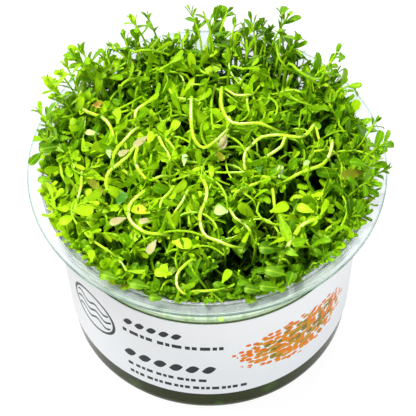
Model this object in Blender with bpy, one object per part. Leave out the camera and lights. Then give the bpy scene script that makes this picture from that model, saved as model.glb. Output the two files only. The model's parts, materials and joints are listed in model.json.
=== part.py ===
"""Rotala growing in a clear tissue culture cup.

The cup is a turned shell with a flat flange. A thin label wraps its wall, a disc of nutrient
gel lies on its floor, and bunches of rotala stems stand on the gel and end in leafy shoots.
Metres, +Z up. The origin is the centre of the cup's base, and the label's front faces -Y.
"""

import math
import random

import bmesh
import bpy
from mathutils import Matrix, Vector

MM = 0.001
GAP = 0.3 * MM

# Cup
CUP_HEIGHT = 64.0 * MM
CUP_SIDES = 54
WALL = 0.8 * MM
FLANGE_RADIUS = 50.0 * MM
FLANGE_THICKNESS = 0.7 * MM
RIM_RADIUS = 45.4 * MM
SEAT_RADIUS = 45.7 * MM
SEAT_DEPTH = 3.0 * MM
SHOULDER_DEPTH = 4.8 * MM
WALL_TOP_RADIUS = 43.1 * MM
WALL_FOOT_RADIUS = 40.5 * MM
CORNER_RADIUS = 4.4 * MM
BEAD_HEIGHT = 50.9 * MM
BEAD_HALF = 0.6 * MM
BEAD_PROUD = 0.35 * MM

# Label
LABEL_TOP = 49.5 * MM
LABEL_FOOT = 10.9 * MM
LABEL_THICKNESS = 0.2 * MM
LABEL_ANGLE = math.radians(330)
LABEL_STEPS = 50

# Nutrient gel
GEL_TOP = 12.0 * MM
GEL_SIDES = 36

# Bunches of stems: one in the centre, then rings of (name, count, radius of the ring)
RINGS = (
    ("inner", 6, 12.4 * MM),
    ("middle", 13, 25.0 * MM),
    ("outer", 20, 37.0 * MM),
)
SEAT_TURN_SCATTER = 0.12
SEAT_RADIUS_SCATTER = 0.5 * MM
BUNCH_SIDES = 6
BUNCH_GAP = 0.5 * MM
BUNCH_LEVELS = ((0.0, 0.64), (0.45, 0.72), (0.92, 0.96), (0.98, 0.72), (1.0, 0.34))
CROWN_DROP = 4.5 * MM
CROWN_VARIATION = 1.2 * MM
BACK_RISE = 3.5 * MM
CROWN_LEAVES = 3
ALIGNMENTS = 12

# The low front, the mat, the back and the tall fringe. Places are shares of the inner radius
FRONT_ENDS = -0.35
BACK_STARTS = 0.3
FRINGE_STARTS = -0.15
FRINGE_EDGE = 0.8
LIFT_SLOPE = 1.6
LEAST_LIFT = 0.3
PAIRS_IN_FRONT = 1
PAIRS_IN_MAT = 2
PAIRS_AT_BACK = 3
PAIRS_IN_FRINGE = 4
INTERNODE_IN_MAT = 2.8 * MM
INTERNODE_IN_FRINGE = 3.1 * MM
OUTWARD_LEAN = 5.0 * MM
SIDEWAYS_LEAN = 1.2 * MM

# Shoots and leaves
STEM_RADIUS = 0.75 * MM
NODE_BAND = 1.1 * MM
TIP_LENGTH = 1.4 * MM
LEAF_LENGTH = 5.8 * MM
LEAF_WIDTH = 2.6 * MM
LEAF_THICKNESS = 0.5 * MM
LEAF_RISE = math.radians(28)
WIDEST_AT = 0.66
LEAF_RISE_SCATTER = (-0.15, 0.35)
STEEPEST = 0.75
ROOM_USED = 0.95
PAIR_SHRINKS = 0.12
INTERNODE_SCATTER = (0.85, 1.1)

# How far leaves may reach from the cup's axis
REACH_IN_WALL = WALL_TOP_RADIUS - WALL - 0.6 * MM
REACH_AT_RIM = RIM_RADIUS - 1.1 * MM
REACH_ABOVE = 50.2 * MM
RIM_CLEARANCE = 0.8 * MM
OVERHANG_SLOPE = 2.5

# Colour, roughness and transmission of each finish
CLEAR_PLASTIC = ((0.86, 0.93, 0.92), 0.08, 0.9)
WHITE_FILM = ((0.90, 0.91, 0.93), 0.35, 0.0)
OLIVE_GEL = ((0.13, 0.15, 0.04), 0.25, 0.0)
LEAF_GREENS = (
    ((0.24, 0.50, 0.02), 0.35, 0.0),
    ((0.33, 0.60, 0.02), 0.35, 0.0),
    ((0.16, 0.38, 0.01), 0.35, 0.0),
)


def clear_scene():
    """Remove every object of the open file."""
    for thing in list(bpy.data.objects):
        bpy.data.objects.remove(thing, do_unlink=True)


def make_material(name, finish):
    """A Principled material from a finish."""
    colour, roughness, transmission = finish
    made = bpy.data.materials.new(name)
    made.use_nodes = True
    shader = made.node_tree.nodes["Principled BSDF"]
    shader.inputs["Base Color"].default_value = (*colour, 1.0)
    shader.inputs["Roughness"].default_value = roughness
    shader.inputs["Transmission Weight"].default_value = transmission
    shader.inputs["Metallic"].default_value = 0.0
    return made


def add_object(name, mesh, finish):
    """Put a mesh in the scene as one named object with its material."""
    mesh.materials.append(make_material(name, finish))
    thing = bpy.data.objects.new(name, mesh)
    bpy.context.scene.collection.objects.link(thing)
    return thing


def finish_mesh(bm, name):
    """Turn all faces outwards and hand the bmesh over as a mesh."""
    bmesh.ops.recalc_face_normals(bm, faces=bm.faces)
    mesh = bpy.data.meshes.new(name)
    bm.to_mesh(mesh)
    bm.free()
    return mesh


def turned_solid(name, outline, sides, finish):
    """Screw an outline into a solid. Two points on the axis become centres of flat ends."""
    count = len(outline)
    joins = [(i, (i + 1) % count) for i in range(count)]
    joins = [(a, b) for a, b in joins if outline[a][0] > 0 or outline[b][0] > 0]
    mesh = bpy.data.meshes.new(name)
    mesh.from_pydata([(r, 0.0, z) for r, z in outline], joins, [])
    thing = add_object(name, mesh, finish)
    screw = thing.modifiers.new("turn", "SCREW")
    screw.axis = "Z"
    screw.angle = math.tau
    screw.steps = sides
    screw.render_steps = sides
    screw.use_merge_vertices = True
    screw.merge_threshold = 0.00005
    return thing


def wall_radius(z):
    """Outer radius of the tapering wall at height z."""
    top = CUP_HEIGHT - SHOULDER_DEPTH
    share = (z - CORNER_RADIUS) / (top - CORNER_RADIUS)
    return WALL_FOOT_RADIUS + (WALL_TOP_RADIUS - WALL_FOOT_RADIUS) * share


def corner_arc(radius, floor, steps):
    """Points of the rounded corner from the wall down to the floor."""
    centre = WALL_FOOT_RADIUS - CORNER_RADIUS
    points = []
    for step in range(steps + 1):
        turn = math.pi / 2 * step / steps
        points.append((centre + radius * math.cos(turn), floor + radius * (1 - math.sin(turn))))
    return points


def make_cup():
    """Thin clear shell: flange, lid seat, bead above the label, tapering wall, flat floor."""
    top = CUP_HEIGHT
    under_flange = top - FLANGE_THICKNESS
    seat = top - SEAT_DEPTH
    shoulder = top - SHOULDER_DEPTH
    outside = [
        (FLANGE_RADIUS, top),
        (FLANGE_RADIUS, under_flange),
        (SEAT_RADIUS + WALL, under_flange),
        (SEAT_RADIUS, seat),
        (WALL_TOP_RADIUS, shoulder),
    ]
    for rise, proud in ((BEAD_HALF, 0.0), (0.0, BEAD_PROUD), (-BEAD_HALF, 0.0)):
        z = BEAD_HEIGHT + rise
        outside.append((wall_radius(z) + proud, z))
    outside += corner_arc(CORNER_RADIUS, 0.0, 3)
    inside = [
        (RIM_RADIUS, top),
        (SEAT_RADIUS - WALL, seat + WALL / 2),
        (WALL_TOP_RADIUS - WALL, shoulder),
    ]
    inside += corner_arc(CORNER_RADIUS - WALL, WALL, 2)
    outline = outside + [(0.0, 0.0), (0.0, WALL)] + inside[::-1]
    turned_solid("cup", outline, CUP_SIDES, CLEAR_PLASTIC)


def make_gel():
    """Disc of nutrient gel on the floor of the cup, rounded below like the cup's corner."""
    clear = WALL + 2 * GAP
    outline = [
        (0.0, GEL_TOP),
        (wall_radius(GEL_TOP) - clear, GEL_TOP),
        (WALL_FOOT_RADIUS - clear, CORNER_RADIUS),
        (WALL_FOOT_RADIUS - CORNER_RADIUS, WALL + GAP),
        (0.0, WALL + GAP),
    ]
    turned_solid("nutrient_gel", outline, GEL_SIDES, OLIVE_GEL)


def make_label():
    """Film label wrapped round the cone of the wall, with its open seam at the back."""
    bm = bmesh.new()
    section = []
    for z, thickness in (
        (LABEL_TOP, 0.0),
        (LABEL_TOP, LABEL_THICKNESS),
        (LABEL_FOOT, LABEL_THICKNESS),
        (LABEL_FOOT, 0.0),
    ):
        section.append(bm.verts.new((0.0, wall_radius(z) + GAP + thickness, z)))
    start = bm.faces.new(section)
    seam = Matrix.Rotation((math.tau - LABEL_ANGLE) / 2, 3, "Z")
    bmesh.ops.rotate(bm, verts=section, cent=(0, 0, 0), matrix=seam)
    bmesh.ops.spin(bm, geom=[start, *start.edges, *start.verts], cent=(0, 0, 0),
                   axis=(0, 0, 1), angle=LABEL_ANGLE, steps=LABEL_STEPS)
    add_object("label", finish_mesh(bm, "label"), WHITE_FILM)


def level_heading(turn):
    """Unit vector in the XY plane."""
    return Vector((math.cos(turn), math.sin(turn)))


def skin(bm, low, high):
    """Faces between two rings with the same number of points."""
    count = len(low)
    faces = []
    for k in range(count):
        n = (k + 1) % count
        faces.append(bm.faces.new((low[k], low[n], high[n], high[k])))
    return faces


def bunch_seats():
    """Name and place of every bunch, in rings with a seeded scatter."""
    scatter = random.Random(7)
    seats = [("bunch_centre", Vector((0.0, 0.0)))]
    for ring, count, radius in RINGS:
        for i in range(count):
            turn = math.tau * (i + 0.5 + scatter.uniform(-1, 1) * SEAT_TURN_SCATTER) / count
            away = radius + scatter.uniform(-1, 1) * SEAT_RADIUS_SCATTER
            seats.append((f"bunch_{ring}_{i + 1:02d}", level_heading(turn) * away))
    return seats


def reach_at(z):
    """How far from the axis a leaf may be at height z, inside the wall or over the flange."""
    if z < CUP_HEIGHT - SEAT_DEPTH + WALL:
        return min(REACH_IN_WALL, wall_radius(z) - WALL - 2 * GAP)
    over = max(z - CUP_HEIGHT - RIM_CLEARANCE, 0.0)
    return min(REACH_AT_RIM + over * OVERHANG_SLOPE, REACH_ABOVE)


class Ground:
    """The part of the cup's plan that one bunch may fill: nearer to its seat than to others."""

    def __init__(self, seat, seats):
        self.seat = seat
        self.edges = []
        for other in seats:
            away = other - seat
            if away.length > 0:
                self.edges.append((away.normalized(), (away.length - BUNCH_GAP) / 2))

    def room(self, start, heading, z):
        """Free length from a start along a level heading."""
        along = start.dot(heading)
        inside = reach_at(z) ** 2 - start.length_squared + along ** 2
        free = math.sqrt(max(inside, 0.0)) - along
        for normal, distance in self.edges:
            closing = heading.dot(normal)
            if closing > 0.001:
                free = min(free, (distance - (start - self.seat).dot(normal)) / closing)
        return max(free, 0.0)

    def hold(self, point):
        """The point itself, or the nearest one towards the seat that is on this ground."""
        offset = point.xy - self.seat
        if offset.length < 0.01 * MM:
            return point
        heading = offset.normalized()
        kept = min(offset.length, self.room(self.seat, heading, point.z))
        level = self.seat + heading * kept
        return Vector((level.x, level.y, point.z))


def grow_leaf(bm, base, turn, length, rise, ground):
    """Extrude a face into a blade that widens to a flat ring and ends in a tip."""
    root = base.calc_center_median()
    heading = level_heading(turn)
    free = ROOM_USED * ground.room(root.xy, heading, root.z + LEAF_WIDTH / 2)
    out = min(length * math.cos(rise), free)
    up = min(math.sqrt(length ** 2 - out ** 2), length * STEEPEST)
    along = Vector((heading.x * out, heading.y * out, up))
    side = Vector((-heading.y, heading.x, 0.0))
    normal = along.cross(side).normalized()
    middle = root + along * WIDEST_AT
    blade = bmesh.ops.extrude_discrete_faces(bm, faces=[base])["faces"][0]
    for vert in blade.verts:
        offset = vert.co - root
        across = math.copysign(LEAF_WIDTH / 2, offset.dot(side))
        over = math.copysign(LEAF_THICKNESS / 2, offset.dot(normal))
        vert.co = ground.hold(middle + side * across + normal * over)
    tip = bmesh.ops.extrude_discrete_faces(bm, faces=[blade])["faces"][0]
    bmesh.ops.pointmerge(bm, verts=tip.verts, merge_co=ground.hold(root + along))


def stem_ring(bm, centre, turn, z):
    """Four points of a stem, whose first side faces the turn."""
    ring = []
    for k in range(4):
        corner = level_heading(turn + math.pi / 2 * (k - 0.5)) * STEM_RADIUS
        ring.append(bm.verts.new((centre.x + corner.x, centre.y + corner.y, z)))
    return ring


def grow_shoot(bm, crown_ring, turn, z, pairs, internode, lean, ground, scatter):
    """Stem that rises from a six-point ring, with a crossed pair of leaves at each node."""
    seat = ground.seat
    low = stem_ring(bm, seat, turn, z)
    joins = ((0, 1, 0), (1, 2, 1, 0), (2, 3, 2, 1), (3, 4, 2), (4, 5, 3, 2), (5, 0, 0, 3))
    for join in joins:
        below = [crown_ring[i] for i in join[:2]]
        above = [low[i] for i in join[2:]]
        bm.faces.new(below + above)
    leaves = []
    for pair in range(pairs):
        share = (pair + 1) / pairs
        centre = seat + lean * share
        z += internode * scatter.uniform(*INTERNODE_SCATTER)
        node = stem_ring(bm, centre, turn, z)
        z += NODE_BAND
        above = stem_ring(bm, centre, turn, z)
        skin(bm, low, node)
        sides = skin(bm, node, above)
        for k in (pair % 2, pair % 2 + 2):
            leaves.append((sides[k], turn + math.pi / 2 * k, 1.0 - PAIR_SHRINKS * pair))
        low = above
    tip = bm.verts.new((seat.x + lean.x, seat.y + lean.y, z + TIP_LENGTH))
    for k in range(4):
        bm.faces.new((low[k], low[(k + 1) % 4], tip))
    for base, heading, size in leaves:
        rise = LEAF_RISE + scatter.uniform(*LEAF_RISE_SCATTER)
        grow_leaf(bm, base, heading, LEAF_LENGTH * size, rise, ground)


def best_start(ground, z):
    """First heading of the six-sided column that fills most of its ground."""
    step = math.tau / BUNCH_SIDES

    def spread(start):
        rooms = []
        for k in range(BUNCH_SIDES):
            rooms.append(ground.room(ground.seat, level_heading(start + step * k), z))
        return sum(rooms[k] * rooms[k - 1] for k in range(BUNCH_SIDES))

    return max((step * i / ALIGNMENTS for i in range(ALIGNMENTS)), key=spread)


def growth_at(seat, scatter):
    """Crown height, leaf pairs, internode and lean of the bunch that stands at a seat."""
    backness = seat.y / REACH_IN_WALL
    edge = seat.length / REACH_IN_WALL
    slope = min(max(backness - FRINGE_STARTS, 0.0) * LIFT_SLOPE, 1.0)
    lift = slope * max(edge, LEAST_LIFT) * BACK_RISE
    crown = CUP_HEIGHT - CROWN_DROP + lift + scatter.uniform(-1, 1) * CROWN_VARIATION
    lean = level_heading(scatter.uniform(0, math.tau)) * SIDEWAYS_LEAN
    if edge > FRINGE_EDGE and backness > FRINGE_STARTS:
        lean += seat.normalized() * OUTWARD_LEAN
        return crown, PAIRS_IN_FRINGE, INTERNODE_IN_FRINGE, lean
    if backness > BACK_STARTS:
        return crown, PAIRS_AT_BACK, INTERNODE_IN_MAT, lean
    pairs = PAIRS_IN_FRONT if backness < FRONT_ENDS else PAIRS_IN_MAT
    return crown, pairs, INTERNODE_IN_MAT, lean


def make_bunch(name, seat, seats, finish, scatter):
    """One bunch of stems: a column from the gel, a crown of leaves and a shoot above it."""
    bm = bmesh.new()
    ground = Ground(seat, seats)
    crown, pairs, internode, lean = growth_at(seat, scatter)
    foot = GEL_TOP + GAP
    first = best_start(ground, foot)
    rings = []
    for level, share in BUNCH_LEVELS:
        z = foot + (crown - foot) * level
        ring = []
        for k in range(BUNCH_SIDES):
            heading = level_heading(first + math.tau * k / BUNCH_SIDES)
            point = seat + heading * ground.room(seat, heading, z) * share
            ring.append(bm.verts.new((point.x, point.y, z)))
        rings.append(ring)
    bm.faces.new(rings[0][::-1])
    bands = [skin(bm, low, high) for low, high in zip(rings, rings[1:])]
    start = crown + STEM_RADIUS
    turn = first + math.pi / BUNCH_SIDES
    grow_shoot(bm, rings[-1], turn, start, pairs, internode, lean, ground, scatter)
    for k in range(CROWN_LEAVES):
        side = k * BUNCH_SIDES // CROWN_LEAVES
        heading = first + math.tau * (side + 0.5) / BUNCH_SIDES
        grow_leaf(bm, bands[-1][side], heading, LEAF_LENGTH, LEAF_RISE, ground)
    add_object(name, finish_mesh(bm, name), finish)


def make_bunches():
    """All bunches, side by side on the gel, in three greens."""
    scatter = random.Random(23)
    seats = bunch_seats()
    places = [place for _, place in seats]
    for i, (name, place) in enumerate(seats):
        make_bunch(name, place, places, LEAF_GREENS[i % len(LEAF_GREENS)], scatter)


clear_scene()
make_cup()
make_gel()
make_label()
make_bunches()
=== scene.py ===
# %% [markdown]
# # Rotala growing in a clear culture cup
#
# The real object is a pot of aquarium plants. A thin clear cup with a flat flange holds a layer
# of nutrient gel, a printed film label is wrapped round it, and a dense mat of small leafy stems
# has grown from the gel up to the rim and over it.
#
# The packed model gives the frame, so every piece below is placed from its nodes.

# %% Load the packed model
import json
import math
import random
from collections import namedtuple

import bpy
import numpy as np
from mathutils import Matrix, Vector


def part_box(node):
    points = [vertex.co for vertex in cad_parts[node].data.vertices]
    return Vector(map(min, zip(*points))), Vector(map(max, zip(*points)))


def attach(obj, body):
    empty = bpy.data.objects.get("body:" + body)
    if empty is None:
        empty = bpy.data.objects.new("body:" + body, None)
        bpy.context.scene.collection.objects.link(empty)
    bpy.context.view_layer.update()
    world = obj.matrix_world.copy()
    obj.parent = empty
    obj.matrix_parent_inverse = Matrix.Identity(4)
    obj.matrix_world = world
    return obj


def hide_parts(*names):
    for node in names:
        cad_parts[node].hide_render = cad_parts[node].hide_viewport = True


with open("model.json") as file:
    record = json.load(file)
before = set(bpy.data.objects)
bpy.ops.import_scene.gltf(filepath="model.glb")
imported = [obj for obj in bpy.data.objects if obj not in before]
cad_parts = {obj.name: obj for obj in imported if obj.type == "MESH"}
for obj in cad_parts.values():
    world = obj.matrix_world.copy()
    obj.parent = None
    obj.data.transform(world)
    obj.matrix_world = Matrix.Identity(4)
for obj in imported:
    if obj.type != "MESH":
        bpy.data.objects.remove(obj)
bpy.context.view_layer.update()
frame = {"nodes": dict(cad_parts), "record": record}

MM = 0.001
print("nodes in the frame:", len(frame["nodes"]))

# %% [markdown]
# ## Camera
#
# The object is seen from in front and well above, from far away through a long lens, so the
# flange looks like an almost regular ellipse. The place, pitch and slight roll below make the
# flange, the label's edges and the base fall where they fall in the picture.
#
# A camera could be aimed with a constraint, but here its three axes are written down: the same
# axes then also turn a pixel of the picture into a line of sight, which places single stems.

# %% Place the camera
IMAGE_SIZE = 416
IMAGE_CENTRE = 208.0
SENSOR = 36.0
LENS = 190.4
CAMERA_PLACE = Vector((0.0, -0.3723, 0.5481))
CAMERA_PITCH = math.radians(53.525)
CAMERA_ROLL = math.radians(-1.2106)
FLANGE_FRONT_PIXEL = (208.0, 318.7)
FLANGE_FRONT_HEIGHT = 64.0

ahead = Vector((0.0, math.cos(CAMERA_PITCH), -math.sin(CAMERA_PITCH)))
level_up = Vector((0.0, math.sin(CAMERA_PITCH), math.cos(CAMERA_PITCH)))
level_right = Vector((1.0, 0.0, 0.0))
picture_right = level_right * math.cos(CAMERA_ROLL) + level_up * math.sin(CAMERA_ROLL)
picture_up = level_up * math.cos(CAMERA_ROLL) - level_right * math.sin(CAMERA_ROLL)

camera_data = bpy.data.cameras.new("camera")
camera_data.sensor_width = SENSOR
camera_data.lens = LENS
camera = bpy.data.objects.new("camera", camera_data)
bpy.context.scene.collection.objects.link(camera)
turned = Matrix((picture_right, picture_up, -ahead)).transposed().to_4x4()
camera.matrix_world = Matrix.Translation(CAMERA_PLACE) @ turned
bpy.context.scene.camera = camera


def seen_at(pixel_x, pixel_y, height):
    """The point at a height above the floor that the camera sees at a pixel of the picture."""
    focal = LENS / SENSOR * IMAGE_SIZE
    sight = ahead + picture_right * ((pixel_x - IMAGE_CENTRE) / focal)
    sight = sight - picture_up * ((pixel_y - IMAGE_CENTRE) / focal)
    return CAMERA_PLACE + sight * ((height - CAMERA_PLACE.z) / sight.z)


def seen_in_mm(pixel_x, pixel_y, height):
    """The same point in mm, for a height in mm."""
    return np.array(seen_at(pixel_x, pixel_y, height * MM)) / MM


flange_front = seen_in_mm(*FLANGE_FRONT_PIXEL, FLANGE_FRONT_HEIGHT)
print("the front of the flange is seen at, in mm:", flange_front.round(2))

# %% [markdown]
# ## Modelling helpers
#
# Every turned piece here is made the same way, as on a lathe: a flat disc is added, and its face
# is extruded and scaled ring by ring along an outline. The Screw modifier could do it too, but
# extruding keeps the first and last faces as closed ends without any clean-up.
#
# Smooth shading blends the slopes of two faces across the whole of each face, and on tall clear
# faces that bends the light as a lens would. So every long stretch of an outline gets a holding
# point close to both of its ends, and the blend stays in the short faces there.
#
# An operator acts on all that is selected, so each helper deselects first.

# %% Start, shape and settle a piece
FINE_SIDES = 144
SMOOTH_BELOW = math.radians(35)
LONG_STRETCH = 1.2
HOLD = 0.25


def deselect():
    """Leave nothing selected, because operators act on whatever is."""
    bpy.ops.object.select_all(action="DESELECT")


def held(outline):
    """The outline with holding points near both ends of its long stretches and of its discs."""
    first_radius, first_height = outline[0]
    last_radius, last_height = outline[-1]
    points = [(first_radius - HOLD, first_height)]
    for (radius, height), (next_radius, next_height) in zip(outline, outline[1:]):
        points.append((radius, height))
        length = math.hypot(next_radius - radius, next_height - height)
        if length > LONG_STRETCH:
            for share in (HOLD / length, 1 - HOLD / length):
                points.append((radius + (next_radius - radius) * share,
                               height + (next_height - height) * share))
    return points + [(last_radius, last_height), (last_radius - HOLD, last_height)]


def turned_piece(name, outline, sides=FINE_SIDES):
    """Disc extruded ring by ring along an outline of (radius, height) in mm, closed at both ends."""
    outline = held(outline)
    deselect()
    radius, height = outline[0]
    bpy.ops.mesh.primitive_circle_add(vertices=sides, radius=radius * MM, fill_type="NGON",
                                      location=(0, 0, height * MM))
    piece = bpy.context.active_object
    piece.name = name
    bpy.ops.object.transform_apply(location=True, rotation=True, scale=True)
    bpy.ops.object.mode_set(mode="EDIT")
    bpy.ops.mesh.select_all(action="SELECT")
    for next_radius, next_height in outline[1:]:
        rise = (0, 0, (next_height - height) * MM)
        bpy.ops.mesh.extrude_region_move(TRANSFORM_OT_translate={"value": rise})
        share = next_radius / radius
        bpy.ops.transform.resize(value=(share, share, 1),
                                 center_override=(0, 0, next_height * MM))
        radius, height = next_radius, next_height
    bpy.ops.mesh.select_all(action="SELECT")
    bpy.ops.mesh.normals_make_consistent(inside=False)
    bpy.ops.object.mode_set(mode="OBJECT")
    bpy.ops.object.shade_smooth_by_angle(angle=SMOOTH_BELOW)
    return piece


def corner_points(radius, centre, floor, steps):
    """Points of a rounded corner with this many steps, from the flat floor up to the wall."""
    points = []
    for step in range(steps + 1):
        turn = math.pi / 2 * step / steps
        points.append((centre + radius * math.sin(turn), floor + radius * (1 - math.cos(turn))))
    return points


print("holding points turn 2 points of an outline into", len(held([(10.0, 0.0), (10.0, 20.0)])))

# %% [markdown]
# ## Materials as sums
#
# A procedural material is a small sum: masks are multiplied, rings are sines, colours are mixed
# by a mask. Adding the nodes one by one hides that, so a wire wraps a socket and overloads the
# arithmetic: `mask * 0.5` adds a Math node. Every other node comes from one method, which takes
# the node's type, its settings and what goes into its sockets.

# %% A wire and a paint
class Wire:
    """An output socket. Sums with wires and numbers add Math nodes."""

    def __init__(self, paint, socket):
        self.paint = paint
        self.socket = socket

    def maths(self, operation, *values):
        """A Math node on these values, in order."""
        return self.paint.node("ShaderNodeMath", {"operation": operation}, dict(enumerate(values)))

    def __add__(self, other):
        return self.maths("ADD", self, other)

    __radd__ = __add__

    def __sub__(self, other):
        return self.maths("SUBTRACT", self, other)

    def __rsub__(self, other):
        return self.maths("SUBTRACT", other, self)

    def __mul__(self, other):
        return self.maths("MULTIPLY", self, other)

    __rmul__ = __mul__

    def __truediv__(self, other):
        return self.maths("DIVIDE", self, other)

    def __abs__(self):
        return self.maths("ABSOLUTE", self)

    def sine(self):
        """The sine of the wire."""
        return self.maths("SINE", self)

    def part(self):
        """What the wire has over its whole number."""
        return self.maths("FRACT", self)

    def above(self, limit):
        """1 where the wire is over the limit, else 0."""
        return self.maths("GREATER_THAN", self, limit)

    def below(self, limit):
        """1 where the wire is under the limit, else 0."""
        return self.maths("LESS_THAN", self, limit)

    def step_up(self, start, end):
        """0 before start, 1 after end, and a smooth rise between them."""
        settings = {"interpolation_type": "SMOOTHSTEP"}
        return self.paint.node("ShaderNodeMapRange", settings, {0: self, 1: start, 2: end})


class Paint:
    """One material with its Principled shader, and the nodes that feed it."""

    def __init__(self, name, **sockets):
        self.material = bpy.data.materials.new(name)
        self.material.use_nodes = True
        self.tree = self.material.node_tree
        self.shader = self.tree.nodes["Principled BSDF"]
        self.feed(**sockets)

    def put(self, socket, value):
        """Link a wire to a socket, or set the socket's own value."""
        if isinstance(value, Wire):
            self.tree.links.new(value.socket, socket)
        else:
            socket.default_value = value

    def feed(self, **sockets):
        """Set the shader's sockets. An underscore in a name stands for a space."""
        for name, value in sockets.items():
            self.put(self.shader.inputs[name.replace("_", " ")], value)

    def node(self, kind, settings=None, values=None, output=0):
        """Any node: its settings first, then what goes into its sockets."""
        added = self.tree.nodes.new(kind)
        for name, value in (settings or {}).items():
            if name == "stops":
                self.set_stops(added.color_ramp, value)
            else:
                setattr(added, name, value)
        for name, value in (values or {}).items():
            self.put(added.inputs[name], value)
        return Wire(self, added.outputs[output])

    def set_stops(self, ramp, stops):
        """The stops of a colour ramp, each a place and a colour."""
        while len(ramp.elements) < len(stops):
            ramp.elements.new(1.0)
        for element, (place, colour) in zip(ramp.elements, stops):
            element.position = place
            element.color = (*colour, 1.0)

    def place(self):
        """Object coordinates, and their x, y and z in mm."""
        spot = self.node("ShaderNodeTexCoord", output="Object")
        parts = [self.node("ShaderNodeSeparateXYZ", None, {0: spot}, axis) for axis in range(3)]
        return spot, [part / MM for part in parts]

    def away(self, x, y):
        """How far the point x, y is from zero."""
        return self.node("ShaderNodeMath", {"operation": "SQRT"}, {0: x * x + y * y})

    def cloud(self, spot, size, detail=3.0, roughness=0.5):
        """Noise from 0 to 1 whose blotches are about size mm across."""
        values = {"Vector": spot, "Scale": 1 / (size * MM), "Detail": detail,
                  "Roughness": roughness}
        return self.node("ShaderNodeTexNoise", None, values)

    def ramp(self, factor, stops):
        """A colour ramp."""
        return self.node("ShaderNodeValToRGB", {"stops": stops}, {0: factor})

    def blend(self, factor, first, second):
        """The first colour where the factor is 0, the second where it is 1."""
        sides = []
        for colour in (first, second):
            sides.append(colour if isinstance(colour, Wire) else (*colour, 1.0))
        values = {0: factor, 6: sides[0], 7: sides[1]}
        return self.node("ShaderNodeMix", {"data_type": "RGBA"}, values, 2)

    def relief(self, height, depth, strength=1.0):
        """Bump of a height from 0 to 1 that is depth mm deep, fed to Normal."""
        values = {"Strength": strength, "Distance": depth * MM, "Height": height}
        self.feed(Normal=self.node("ShaderNodeBump", None, values))


def dress(piece, paint, slot):
    """Give a piece its material, and let it ride on the one body. The slot is not used."""
    piece.data.materials.clear()
    piece.data.materials.append(paint.material)
    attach(piece, "root")


print("a wire knows:", ", ".join(name for name in vars(Wire) if not name.startswith("_")))

# %% [markdown]
# ## The cup
#
# The cup is drawn from one sheet of clear plastic. Its flange is what the lid film would be
# sealed to, and the step inside the rim seats a lid. The wall tapers so that empty cups stack.
#
# The outline runs from the middle of the floor, up the outside, over the flange and down the
# inside. Small arcs stand at the flange's edge and at the rim, because those edges catch the
# light: a knife-sharp edge would show nothing.

# %% Model the cup
cup_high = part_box("cup")[1]
CUP_HEIGHT = cup_high.z / MM
FLANGE_RADIUS = cup_high.x / MM
WALL = 0.8
CORNER_RADIUS = 4.4
WALL_FOOT_RADIUS = 40.5
WALL_TOP_RADIUS = 43.1
SHOULDER = CUP_HEIGHT - 4.8
SEAT_RADIUS = 45.7
RIM_RADIUS = 45.4
BEAD_HEIGHT = 50.9
BEAD_PROFILE = ((-0.6, 0.0), (-0.35, 0.26), (0.0, 0.35), (0.35, 0.26), (0.6, 0.0))
SEAT_OUTSIDE = ((-2.1, 4.3), (-0.4, 3.3), (0.0, 2.9), (0.3, 1.2), (0.9, 0.75))
FLANGE_EDGE = ((-0.6, 0.7), (-0.2, 0.62), (0.0, 0.4), (-0.05, 0.12), (-0.3, 0.0), (-0.9, 0.05),
               (-1.1, 0.12))
RIM_EDGE = ((1.1, 0.12), (0.8, 0.0), (0.4, 0.02), (0.0, 0.35))
SEAT_INSIDE = ((-0.1, 1.9), (-0.5, 2.6), (-0.7, 2.85), (-1.2, 3.1), (-2.8, 4.45))


def wall_radius(height):
    """Outer radius of the tapering wall at a height, both in mm."""
    share = (height - CORNER_RADIUS) / (SHOULDER - CORNER_RADIUS)
    return WALL_FOOT_RADIUS + (WALL_TOP_RADIUS - WALL_FOOT_RADIUS) * share


def edge_points(radius, profile):
    """Points of the outline, each this far out from a radius and down from the cup's top."""
    return [(radius + out, CUP_HEIGHT - down) for out, down in profile]


def cup_outline():
    """Outline of the cup, from the middle of its floor round to the middle of its inside."""
    centre = WALL_FOOT_RADIUS - CORNER_RADIUS
    outline = corner_points(CORNER_RADIUS, centre, 0.0, steps=6)
    for rise, proud in BEAD_PROFILE:
        height = BEAD_HEIGHT + rise
        outline.append((wall_radius(height) + proud, height))
    outline.append((WALL_TOP_RADIUS, SHOULDER))
    outline += edge_points(SEAT_RADIUS, SEAT_OUTSIDE) + edge_points(FLANGE_RADIUS, FLANGE_EDGE)
    outline += edge_points(RIM_RADIUS, RIM_EDGE) + edge_points(RIM_RADIUS, SEAT_INSIDE)
    outline.append((WALL_TOP_RADIUS - WALL, SHOULDER - 0.1))
    inner_corner = corner_points(CORNER_RADIUS - WALL, centre, WALL, steps=6)
    return outline + inner_corner[::-1]


cup = turned_piece("clear_cup", cup_outline())
print("cup faces:", len(cup.data.polygons), "height in mm:", CUP_HEIGHT)
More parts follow.
